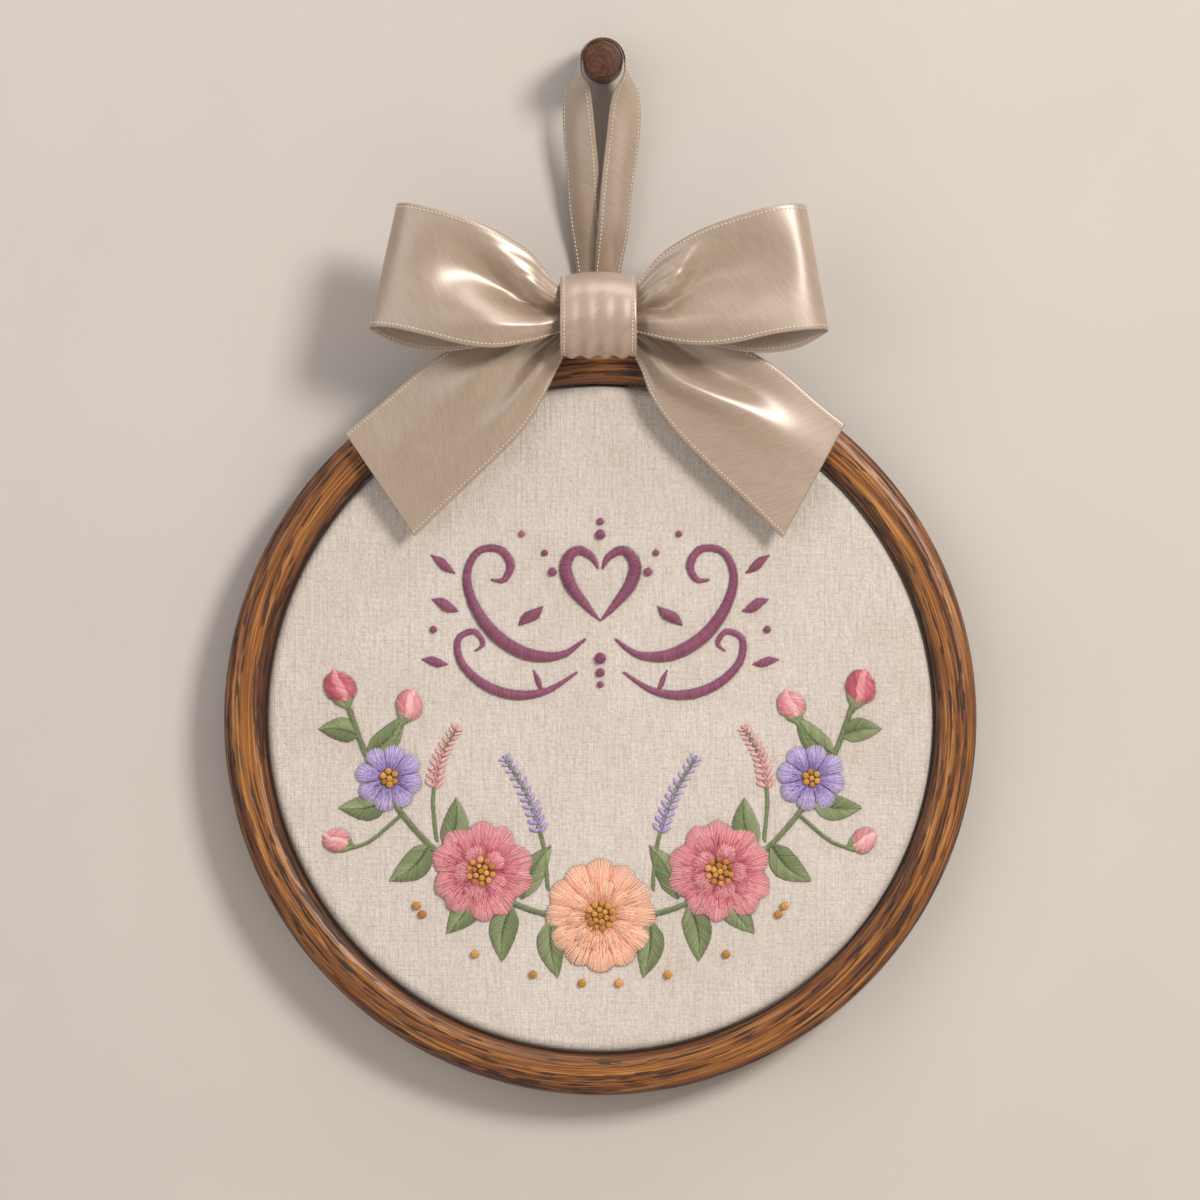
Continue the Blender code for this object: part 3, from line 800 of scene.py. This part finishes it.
def ribbon_grid(sections, steps, closed=False):
    """Points of a wide ribbon: each section gives one line from its top edge to its low edge."""
    rows = smooth_table(sections, steps, closed)
    u = np.linspace(0, 1, RIBBON_ACROSS + 1)[None]
    column = {name: rows[:, i : i + 1] for i, name in enumerate(Section._fields)}
    depth = column["depth"] + column["crown"] * np.sin(math.pi * u)
    depth = depth + column["rise"] * np.exp(-(((u - column["at"]) / column["wide"]) ** 2))
    depth = depth + column["rise_2"] * np.exp(-(((u - column["at_2"]) / column["wide_2"]) ** 2))
    # fine creases that the knot gathers into the ribbon, finest near the middle of the bow
    run = np.arange(len(rows))[:, None] / steps
    creases = np.sin(u * 41 + np.sin(run * 0.7) * 1.3) + 0.7 * np.sin(u * 67 - run * 0.5)
    depth = depth + column["gather"] * CREASE * creases
    x = column["x_top"] + (column["x_low"] - column["x_top"]) * u
    z = column["z_top"] + (column["z_low"] - column["z_top"]) * u
    return np.stack([x, -depth, z], -1)


def leg_line(leg, side, across=20):
    """One line across the hanging ribbon, whose front edge turns towards the other leg."""
    turn = math.radians(leg.facing)
    along = np.array([side * math.sin(turn), -math.cos(turn), 0.0])
    out = np.array([-side * math.cos(turn), -math.sin(turn), 0.0])
    u = np.linspace(-1, 1, across + 1)[:, None]
    return np.array([leg.x, -leg.depth, leg.z]) + along * u * leg.width / 2 + out * leg.cup * (1 - u * u)


def hanger_grid():
    """Points of the hanging ribbon: up the left leg, over the peg and down the right leg."""
    radius = PEG_HIGH[0] + HANGER_OFF_PEG
    on_peg = (HANGER_DEPTH, HANGER_WIDTH, 0.0, 0.0)
    left, right = (
        [
            leg_line(Leg(*row), side)
            for row in smooth_table([(-side * radius, 0.0, *on_peg)] + table, LEG_STEPS)
        ]
        for side, table in ((1, LEFT_LEG), (-1, RIGHT_LEG))
    )
    left.reverse()
    over = [
        leg_line(Leg(radius * math.cos(angle), radius * math.sin(angle), *on_peg), 1)
        for angle in np.radians(np.arange(175, 0, -5))
    ]
    return np.array(left + over + right)


def band_grid():
    """Points of the knot's band, with its top drooping at the sides and its low edge scalloped by pleats."""
    rows = smooth_table(BAND, BAND_STEPS)
    u = np.linspace(-1, 1, BAND_ACROSS + 1)[None]
    depth, z, width, pleat = (rows[:, i : i + 1] for i in range(4))
    middle = (BAND_LOW[0] + BAND_HIGH[0]) / 2
    x = middle + u * width / 2
    top_in_front = np.clip((z + 82) / 6, 0, 1) * np.clip((depth - 10) / 8, 0, 1)
    z = z - BAND_DROOP * u * u * top_in_front
    ridges = 0.5 + 0.5 * np.cos(u * 2 * math.pi * BAND_PLEATS + 0.4)
    depth = depth - pleat * PLEAT_DEPTH * ridges * (1 - u**8)
    low = np.clip((-84 - z) / 7, 0, 1)
    z = z + low * pleat * SCALLOP * ridges
    return np.stack([x, -depth, z], -1)


def ribbon_piece(name, grid, width, satin, thread, node_name, closed=False):
    """A ribbon with the stitched hems along its edges, attached to the root body in place of its CAD node.
    """
    piece = sheet_piece(name, grid, width, satin, closed)
    hems = Threads()
    hem_stitches(hems, grid, width, closed)
    stitches = hems.piece(name + "_hem", thread)
    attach(piece, "root")
    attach(stitches, "root")
    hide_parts(node_name)


def make_ribbons():
    satin = satin_material()
    thread = thread_material("selvedge_thread", 0.5)
    tails = ribbon_grid(TAILS, 12)
    loops = ribbon_grid(LEFT_LOOP + RIGHT_LOOP, 10, closed=True)
    for name, grid, width, node_name, held, under, closed in (
        ("hanger_ribbon", hanger_grid(), HANGER_WIDTH, "hanging_loop", "hung", "walnut_peg", False),
        ("bow_tail_ribbon", tails, RIBBON_WIDTH, "bow_tails", "hung", "oak_hoop", False),
        ("bow_loop_ribbon", loops, RIBBON_WIDTH, "bow_loops", "folded", "bow_tail_ribbon", True),
        ("knot_ribbon", band_grid(), BAND_RIBBON, "knot_band", "folded", "bow_loop_ribbon", False),
    ):
        ribbon_piece(name, grid, width, satin, thread, node_name, closed)


# ---------------------------------------------------------------- embroidery

# Places are in millimetres from the hoop's centre. Each dye has its light, middle and dark shade.
THREAD = 0.52
PLY_GAP = 0.4

PLUM = ("#7E3F5C", "#96536F", "#A9678A")
ROSE = ("#F0A9AC", "#C9616F", "#8F3B4A")
PEACH = ("#FFCFB4", "#F0AC8A", "#C97F5C")
LILAC = ("#CDBDE6", "#A78FCB", "#735C96")
SAGE = ("#A3AC82", "#848F63", "#5F6B45")
BLUSH = ("#F6C3C2", "#E59BA0", "#B5636F")
GOLD = ("#DDA452", "#BD8434", "#8C5A1C")


def on_linen(place, lift):
    """A point on the linen's face, from the hoop's centre, raised by some padding."""
    return np.array([HOOP_X + place[0], -(LINEN_FACE + lift), HOOP_Z + place[1]])


OUTWARDS = (0.0, -1.0, 0.0)


class Needle:
    """Sews motifs into one set of threads, each stitch a little off in place and dye."""

    def __init__(self, seed):
        self.threads = Threads()
        self.knots = []
        self.chance = np.random.default_rng(seed)

    def dye(self, shades, depth):
        """A colour between light (0) and dark (1) of three shades, varied for one stitch."""
        light, middle, dark = (np.array(linear(shade)[:3]) for shade in shades)
        depth = min(max(depth + self.chance.normal(0, 0.08), 0.0), 1.0)
        if depth < 0.5:
            tone = light + (middle - light) * 2 * depth
        else:
            tone = middle + (dark - middle) * (2 * depth - 1)
        return tone * (1 + self.chance.normal(0, 0.07))

    def stitch(self, start, end, low, high, rise, dye, width=THREAD):
        jitter = self.chance.normal(0, 0.05, 4)
        start = on_linen(np.add(start, jitter[:2]), low)
        end = on_linen(np.add(end, jitter[2:]), high)
        self.threads.add(start, end, OUTWARDS, width, rise, dye)

    def satin(self, table, shades, depth, slant, pad=0.28, gap=PLY_GAP, edge=0.0):
        """Padded satin stitch across a curve of (x, y, width) rows; slant leans each stitch over."""
        curve = smooth_table(table, 16)
        steps = np.linalg.norm(np.diff(curve[:, :2], axis=0), axis=1)
        run = np.concatenate([[0.0], np.cumsum(steps)])
        lean = math.tan(math.radians(slant))
        for s in np.arange(gap / 2, run[-1], gap):
            x, y, wide = (np.interp(s, run, curve[:, k]) for k in range(3))
            ahead = np.array([np.interp(s + 0.2, run, curve[:, k]) for k in range(2)])
            behind = np.array([np.interp(s - 0.2, run, curve[:, k]) for k in range(2)])
            along = (ahead - behind) / max(np.linalg.norm(ahead - behind), 1e-9)
            over = np.array([-along[1], along[0]]) + along * lean
            half = over * max(wide, 0.25) / 2
            tone = depth + edge * abs(s / run[-1] - 0.5) * 2
            rise = pad * min(wide, 4.0)
            self.stitch((x, y) - half, (x, y) + half, 0.02, 0.02, rise, self.dye(shades, tone))

    def stem(self, table, width, depth=0.65):
        """Stem stitch: a thin rope of slanting stitches."""
        rows = [(x, y, width) for x, y in table]
        self.satin(rows, SAGE, depth, slant=56, pad=0.35, gap=0.5)

    def leaf(self, base, tip, wide, bend):
        """Fishbone stitch from a midrib out to both margins, with a darker vein on top."""
        depth = 0.35
        base, tip = np.array(base, float), np.array(tip, float)
        run = tip - base
        length = np.linalg.norm(run)
        ahead = run / length
        over = np.array([-ahead[1], ahead[0]])

        def rib(s):
            return base + run * s + over * bend * math.sin(math.pi * s)

        for side in (1, -1):
            for s in np.arange(0.0, 0.97, 0.38 / length):
                reach = min(1.0, s + 0.16 + 0.12 * (1 - s))
                half = wide / 2 * math.sin(math.pi * reach**0.82) ** 0.8 if reach < 1 else 0.0
                edge = rib(reach) + over * side * half
                tone = depth + 0.16 * side + 0.22 * (1 - s)
                self.stitch(rib(s), edge, 0.42, 0.04, 0.16, self.dye(SAGE, tone), 0.48)
        vein = [rib(s) for s in np.linspace(0, 0.86, 6)]
        for here, after in zip(vein, vein[1:]):
            for part in (0.0, 0.5):
                low = here + (after - here) * part
                high = low + (after - here) * 0.6
                self.stitch(low, high, 0.5, 0.5, 0.12, self.dye(SAGE, depth + 0.5), 0.42)

    def petal(self, middle, turn, reach, spread, shades, notch, pad, lobe):
        """Long and short stitch in one petal, from its rounded margin in towards the flower's heart."""
        core = 0.16
        off = reach * (1 - lobe)
        size = reach * lobe

        def rim(t):
            angle = t * spread
            across = size * size - (off * math.sin(angle)) ** 2
            far = off * math.cos(angle) + math.sqrt(max(across, 0.0))
            return far * (1 - notch * math.exp(-((t / 0.22) ** 2)))

        def spot(t, s):
            angle = turn + t * spread
            far = rim(t) * s
            return middle[0] + far * math.sin(angle), middle[1] + far * math.cos(angle)

        def lift(t, s):
            return 0.05 + pad * math.sqrt(max(0.0, 1 - t * t)) * max(0.0, 1 - ((s - 0.62) / 0.5) ** 2)

        bands = ((1.0, 0.60), (0.78, 0.38), (0.56, core))
        for level, (outer, inner) in enumerate(bands):
            arc = 2 * spread * reach * (outer + inner) / 2
            count = max(5, int(arc / (PLY_GAP * 1.02)))
            for index in range(count):
                t = -1 + 2 * (index + 0.5) / count
                long = 0.07 if index % 2 else -0.03
                start = outer + (0.0 if level == 0 else self.chance.normal(0, 0.035))
                end = inner - long + self.chance.normal(0, 0.025)
                # thread shades run light at the margin to dark in at the heart; painted shade: stitches also
                # darken towards each petal's sides, where the petals meet
                tone = (0.08, 0.34, 0.72)[level] + 0.3 * abs(t) ** 5
                raised = 0.03 * level
                self.stitch(
                    spot(t, min(start, 1.0)),
                    spot(t * 0.97, max(end, core * 0.6)),
                    lift(t, start) + raised,
                    lift(t, end) + raised,
                    0.16,
                    self.dye(shades, tone),
                )

    def flower(self, middle, reach, petals, shades, notch=0.0, turn=0.0, lobe=0.44, over=1.04, pad=0.8):
        """A round of petals; over is how far each laps the next."""
        for index in range(petals):
            angle = turn + index * 2 * math.pi / petals
            size = reach * (1 + self.chance.normal(0, 0.02))
            self.petal(middle, angle, size, math.pi / petals * over, shades, notch, pad, lobe)

    def knot(self, x, y, radius, shades, lift):
        self.knots.append((x, y, radius, lift, self.dye(shades, self.chance.uniform(0.0, 0.7))))

    def knot_heart(self, middle, rings, radius, lift):
        """Gold French knots packed in rings: (how many, how far out)."""
        for count, far in rings:
            for index in range(count):
                angle = 2 * math.pi * (index + 0.5 * (count % 2)) / count + far
                self.knot(
                    middle[0] + far * math.sin(angle) + self.chance.normal(0, 0.08),
                    middle[1] + far * math.cos(angle) + self.chance.normal(0, 0.08),
                    radius * (1 + self.chance.normal(0, 0.06)),
                    GOLD,
                    lift,
                )

    def bud(self, base, turn, size, shades):
        """A closed bud: three lapped satin petals held in a pair of green sepals."""
        ahead = np.array([math.sin(turn), math.cos(turn)])
        over = np.array([ahead[1], -ahead[0]])
        base = np.array(base, float)

        def along(s, side):
            return base + ahead * size * s + over * size * side

        for side, tone in ((-1, 0.62), (1, 0.45), (0, 0.12)):
            rows = [
                (*along(0.18, 0.06 * side), 0.10 * size),
                (*along(0.42, 0.20 * side), 0.36 * size),
                (*along(0.70, 0.17 * side), 0.34 * size),
                (*along(1.0 if side == 0 else 0.93, 0.05 * side), 0.05 * size),
            ]
            self.satin(rows, shades, tone, slant=40, pad=0.26)
        for side in (-1, 1):
            rows = [
                (*along(0.0, 0.0), 0.10 * size),
                (*along(0.20, 0.15 * side), 0.17 * size),
                (*along(0.46, 0.30 * side), 0.04 * size),
            ]
            self.satin(rows, SAGE, 0.4, slant=48, pad=0.3)
        self.satin([(*along(-0.04, 0), 0.12 * size), (*along(0.3, 0), 0.10 * size)], SAGE, 0.55, slant=50)

    def finish(self, name, thread):
        """Joins the stitches into one piece and the knots, where there are any, into another."""
        made = [self.threads.piece(name, thread)]
        if self.knots:
            made.append(knot_piece(name + "_knots", self.knots, thread))
        for piece in made:
            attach(piece, "root")


def knot_piece(name, knots, material):
    """French knots: low rounded mounds with the thread's turns showing as ridges."""
    around = 9
    levels = ((1.0, 0.0), (1.06, 0.42), (0.86, 0.78), (0.62, 0.98), (0.24, 1.0))
    verts, dyes_and_shade, faces = [], [], []
    for number, (x, y, radius, lift, dye) in enumerate(knots):
        base = len(verts)
        for level, (wide, high) in enumerate(levels):
            for step in range(around):
                angle = 2 * math.pi * step / around + number
                ridge = 1 + 0.07 * math.sin(3 * angle + 2.2 * level)
                far = radius * wide * ridge
                spot = (x + far * math.sin(angle), y + far * math.cos(angle))
                verts.append(on_linen(spot, lift + radius * 1.05 * high))
                # painted shade: the foot ring, where the knot meets the cloth, is darkened to 0.55 of its
                # dye
                dyes_and_shade.append((*(dye * (0.55 if level == 0 else 1.0)), 1.0))
        # painted shade: the knot's sunk middle point is darkened to 0.62 of its dye
        verts.append(on_linen((x, y), lift + radius * 0.92))
        dyes_and_shade.append((*(dye * 0.62), 1.0))
        top = len(verts) - 1
        last = base + (len(levels) - 1) * around
        for step in range(around):
            after = (step + 1) % around
            for level in range(len(levels) - 1):
                a = base + level * around
                b = a + around
                faces.append((b + step, b + after, a + after, a + step))
            faces.append((top, last + after, last + step))
    made = mesh_object(name, verts, faces, material)
    layer = made.data.color_attributes.new("thread_dye_and_shade", "FLOAT_COLOR", "POINT")
    layer.data.foreach_set("color", np.array(dyes_and_shade, np.float32).ravel())
    return made


def mirrored(table, side):
    """A table's rows with their first column turned to the other side of the middle."""
    return [(side * row[0], *row[1:]) for row in table]


SCROLL = [
    (4.5, 24.5, 0.8),
    (12.0, 19.6, 2.6),
    (22.0, 19.8, 4.2),
    (31.5, 25.2, 4.4),
    (38.2, 34.0, 3.6),
    (40.8, 43.6, 2.8),
    (37.6, 51.0, 2.4),
    (31.0, 52.0, 2.6),
    (27.4, 47.4, 2.8),
    (29.4, 42.6, 2.0),
    (33.4, 42.6, 0.8),
]
LOW_SCROLL = [
    (7.0, 14.4, 0.8),
    (16.0, 8.8, 2.2),
    (26.0, 7.4, 3.4),
    (35.6, 10.6, 3.2),
    (42.4, 17.2, 2.6),
    (43.4, 24.4, 2.2),
    (38.6, 26.8, 2.0),
    (35.8, 23.2, 1.6),
    (38.2, 20.8, 0.7),
]
HEART_SIDE = [
    (0.0, 30.0, 0.5),
    (4.2, 34.6, 2.6),
    (9.2, 41.2, 4.2),
    (10.6, 47.6, 4.0),
    (7.2, 51.6, 3.2),
    (2.6, 49.6, 2.4),
    (0.6, 46.0, 0.8),
]
SCROLL_DROPS = [
    ((25.0, 28.6), (17.6, 34.4), 4.2),
    ((43.4, 33.0), (51.4, 36.6), 3.8),
    ((44.4, 44.6), (51.6, 50.0), 3.2),
    ((20.4, 15.0), (17.4, 8.0), 1.8),
    ((46.6, 16.8), (54.4, 18.2), 3.2),
]


def sew_flourish():
    """The plum flourish: an open heart between two pairs of scrolls."""
    needle = Needle(3)
    for side in (1, -1):
        for curve, depth in ((SCROLL, 0.42), (LOW_SCROLL, 0.5), (HEART_SIDE, 0.4)):
            needle.satin(mirrored(curve, side), PLUM, depth, slant=14 * side, edge=0.2)
        for start, end, wide in SCROLL_DROPS:
            middle = np.mean([start, end], axis=0)
            table = [(*start, 0.4), (*middle, wide), (*end, 0.4)]
            needle.satin(mirrored(table, side), PLUM, 0.5, slant=30 * side)
        for x, y, size in ((14.6, 45.0, 1.3), (17.0, 50.8, 1.0), (24.0, 56.6, 1.0), (51.0, 27.4, 1.1)):
            needle.knot(side * x, y, size, PLUM, 0.05)
    for y, size in ((18.6, 1.7), (14.2, 1.3), (10.6, 1.0), (56.4, 1.5), (60.4, 1.1)):
        needle.knot(0.0, y, size, PLUM, 0.05)
    return needle


SWAG = [(-77.0, 4.0), (-70.0, -14.0), (-58.0, -32.0), (-42.0, -47.0), (-22.0, -58.0), (0.0, -62.0)]
SWAG_LEAVES = [
    ((-73.5, -5.0), (-86.0, -3.0), 7.6, 1.0),
    ((-71.5, -11.0), (-60.0, 1.0), 7.8, 1.4),
    ((-64.0, -24.5), (-80.0, -27.0), 8.4, -1.4),
    ((-52.0, -38.0), (-64.5, -49.5), 9.0, -1.8),
    ((-47.0, -40.0), (-44.0, -24.0), 8.6, 1.4),
    ((-38.0, -50.0), (-47.0, -65.5), 9.4, -1.6),
    ((-27.0, -56.5), (-30.0, -74.0), 9.0, 1.4),
    ((-15.0, -60.5), (-13.0, -79.0), 8.6, 1.2),
    ((-24.0, -55.0), (-15.0, -38.5), 8.2, -1.2),
]
SPRIGS = [
    [(-16.0, -52.0), (-17.5, -38.0), (-22.0, -24.0), (-29.0, -12.0)],
    [(-50.0, -37.0), (-51.0, -24.0), (-49.0, -12.0), (-44.0, -3.0)],
]


def sew_swag():
    """The swag of flowers: stems and leaves, then blooms, buds and lavender sprigs."""
    green, bloom = Needle(11), Needle(23)
    for side in (1, -1):
        green.stem(mirrored(SWAG, -side), 1.7)
        for base, tip, wide, bend in SWAG_LEAVES:
            ends = mirrored([base, tip], -side)
            green.leaf(ends[0], ends[1], wide, bend * side)
        for sprig, shades in zip(SPRIGS, (LILAC, BLUSH)):
            path = mirrored(sprig, -side)
            green.stem(path, 1.1, depth=0.6)
            spike = smooth_table(path, 12)
            start = int(len(spike) * 0.42)
            for step, row in enumerate(spike[start::2]):
                ahead = spike[min(start + 2 * step + 2, len(spike) - 1)] - spike[start + 2 * step - 2]
                heading = math.atan2(ahead[0], ahead[1])
                small = 1 - 0.035 * step
                for lean in (-0.95, 0.95, 0.0):
                    angle = heading + lean
                    size = (3.4 if lean else 2.6) * small
                    tip = row + size * np.array([math.sin(angle), math.cos(angle)])
                    table = [(*row, 0.3), (*((row + tip) / 2), 1.5 * small), (*tip, 0.35)]
                    depth = 0.25 if lean else 0.55
                    bloom.satin(table, shades, depth, slant=50, pad=0.35)
        bloom.bud((-side * 77.4, 3.4), side * -0.32, 12.5, ROSE)
        bloom.bud((-side * 60.4, -1.2), side * 0.36, 11.0, BLUSH)
        green.stem(mirrored([(-69.5, -15.0), (-64.0, -9.0), (-60.4, -1.6)], -side), 1.1)
        green.stem(mirrored([(-60.5, -29.0), (-70.0, -37.0), (-76.5, -39.5)], -side), 1.1)
        bloom.bud((-side * 75.6, -39.2), side * -1.15, 10.0, BLUSH)
        lilac, rose, lean = (-side * 64.5, -18.0), (-side * 36.5, -46.5), 0.3 * side
        bloom.flower(lilac, 10.6, 8, LILAC, turn=0.2, lobe=0.36, over=0.96, pad=1.1)
        bloom.knot_heart(lilac, ((1, 0.0), (6, 2.0)), 0.95, 0.8)
        bloom.flower(rose, 16.8, 5, ROSE, notch=0.12, turn=lean, lobe=0.5, over=1.08, pad=1.1)
        bloom.flower(rose, 9.2, 5, ROSE, notch=0.1, turn=lean + 0.63, lobe=0.5, over=1.0, pad=1.5)
        bloom.knot_heart(rose, ((1, 0.0), (6, 1.9), (10, 3.7)), 0.92, 0.9)
        for x, y in ((-5.6, -80.6), (-20.6, -78.0), (-38.4, -71.8), (-56.2, -57.0), (-54.4, -59.6)):
            bloom.knot(side * x, y, 1.25, GOLD, 0.1)
    peach = (0.0, -60.0)
    bloom.flower(peach, 17.4, 12, PEACH, lobe=0.3, over=1.0)
    bloom.flower(peach, 11.0, 10, PEACH, turn=0.2, lobe=0.34, over=1.0, pad=1.3)
    bloom.knot_heart(peach, ((1, 0.0), (6, 1.9), (11, 3.8)), 0.95, 0.9)
    return green, bloom


def make_embroidery():
    cotton = thread_material("mercerised_stranded_cotton", 0.42)
    green, bloom = sew_swag()
    sew_flourish().finish("plum_flourish", cotton)
    green.finish("sage_stems_and_leaves", cotton)
    bloom.finish("blooms_and_buds", cotton)


# ---------------------------------------------------------------- floor, light and camera

CAMERA_AWAY = 2.2
VIEW_WIDTH = 0.366
VIEW_X = -0.9
VIEW_Z = -164.7
SENSOR = 36.0
WALL = 0.6
STAGE_SIDE, STAGE_NEAR, STAGE_LOW, STAGE_HIGH = 1600, -2600, -1000, 1400


def pale_material(name, colour):
    """Matt paint, very faintly mottled."""
    material, shader, add = new_material(name, Roughness=0.9)
    mottle = add("TexNoise", {"Vector": add("TexCoord", out="Object"), "Scale": 14.0, "Detail": 4.0})
    shade = add("ValToRGB", [mottle], stops=[(0.3, "#909090"), (0.7, "#FFFFFF")])
    tone = add("Mix", {0: 0.05, 6: linear(colour), 7: shade}, blend_type="MULTIPLY", **IN_COLOUR)
    wire(shader, {"Base Color": tone})
    return material


def one_sided(material):
    """Lets a backdrop be seen only from its front."""
    tree = material.node_tree
    behind = node(tree, "NewGeometry", out="Backfacing")
    paint = tree.nodes["Principled BSDF"].outputs[0]
    mixed = node(tree, "MixShader", [behind, paint, node(tree, "BsdfTransparent")])
    wire(tree.nodes["Material Output"], {"Surface": mixed})
    return material


def make_stage():
    side, low, high, near = STAGE_SIDE, STAGE_LOW, STAGE_HIGH, STAGE_NEAR
    wall = mesh_object(
        "pale_wall",
        [(-side, WALL, low), (side, WALL, low), (side, WALL, high), (-side, WALL, high)],
        [(0, 1, 2, 3)],
        one_sided(pale_material("matt_wall_paint", "#C9C1BA")),
    )
    floor = mesh_object(
        "pale_floor",
        [(-side, near, low), (side, near, low), (side, side, low), (-side, side, low)],
        [(0, 1, 2, 3)],
        pale_material("matt_floor", "#DDD5CB"),
    )


def area_light(name, place, size, power, colour):
    light = bpy.data.lights.new(name, "AREA")
    light.shape = "RECTANGLE"
    light.size, light.size_y = size
    light.energy = power
    light.color = linear(colour)[:3]
    lamp = bpy.data.objects.new(name, light)
    bpy.context.collection.objects.link(lamp)
    aim_at(lamp, place, (VIEW_X, 0, VIEW_Z))


def aim_at(item, place, target):
    """Puts a lamp or the camera at a place and turns it to look at a target, both in millimetres."""
    look = np.array(target, float) - np.array(place, float)
    look /= np.linalg.norm(look)
    right = np.cross(look, (0, 0, 1))
    right /= np.linalg.norm(right)
    matrix = np.eye(4)
    matrix[:3, 0] = right
    matrix[:3, 1] = np.cross(right, look)
    matrix[:3, 2] = -look
    matrix[:3, 3] = np.array(place, float) * MM
    item.matrix_world = Matrix(matrix.tolist())


def make_lights():
    area_light("window_key", (1180, -1620, 720), (0.55, 0.55), 37, "#FFFBF6")
    area_light("room_fill", (-1300, -1500, 200), (1.6, 1.6), 9.5, "#FAFAFF")
    area_light("sky_top", (200, -500, 1300), (1.0, 0.6), 6.4, "#FFFFFF")
    world = bpy.data.worlds.new("soft_room")
    bpy.context.scene.world = world
    world.use_nodes = True
    wire(world.node_tree.nodes["Background"], {"Color": linear("#F6F3F0"), "Strength": 0.33})


def make_camera():
    lens = bpy.data.cameras.new("long_lens")
    lens.lens = SENSOR * CAMERA_AWAY / VIEW_WIDTH
    lens.sensor_width = SENSOR
    lens.clip_start = 0.05
    lens.clip_end = 20.0
    camera = bpy.data.objects.new("long_lens", lens)
    bpy.context.collection.objects.link(camera)
    aim_at(camera, (VIEW_X, -18 - CAMERA_AWAY / MM, VIEW_Z), (VIEW_X, 0, VIEW_Z))
    bpy.context.scene.camera = camera
    bpy.context.scene.view_settings.view_transform = "Standard"


make_hoops()
make_peg()
make_linen(linen_material())
make_ribbons()
make_embroidery()
make_stage()
make_lights()
make_camera()
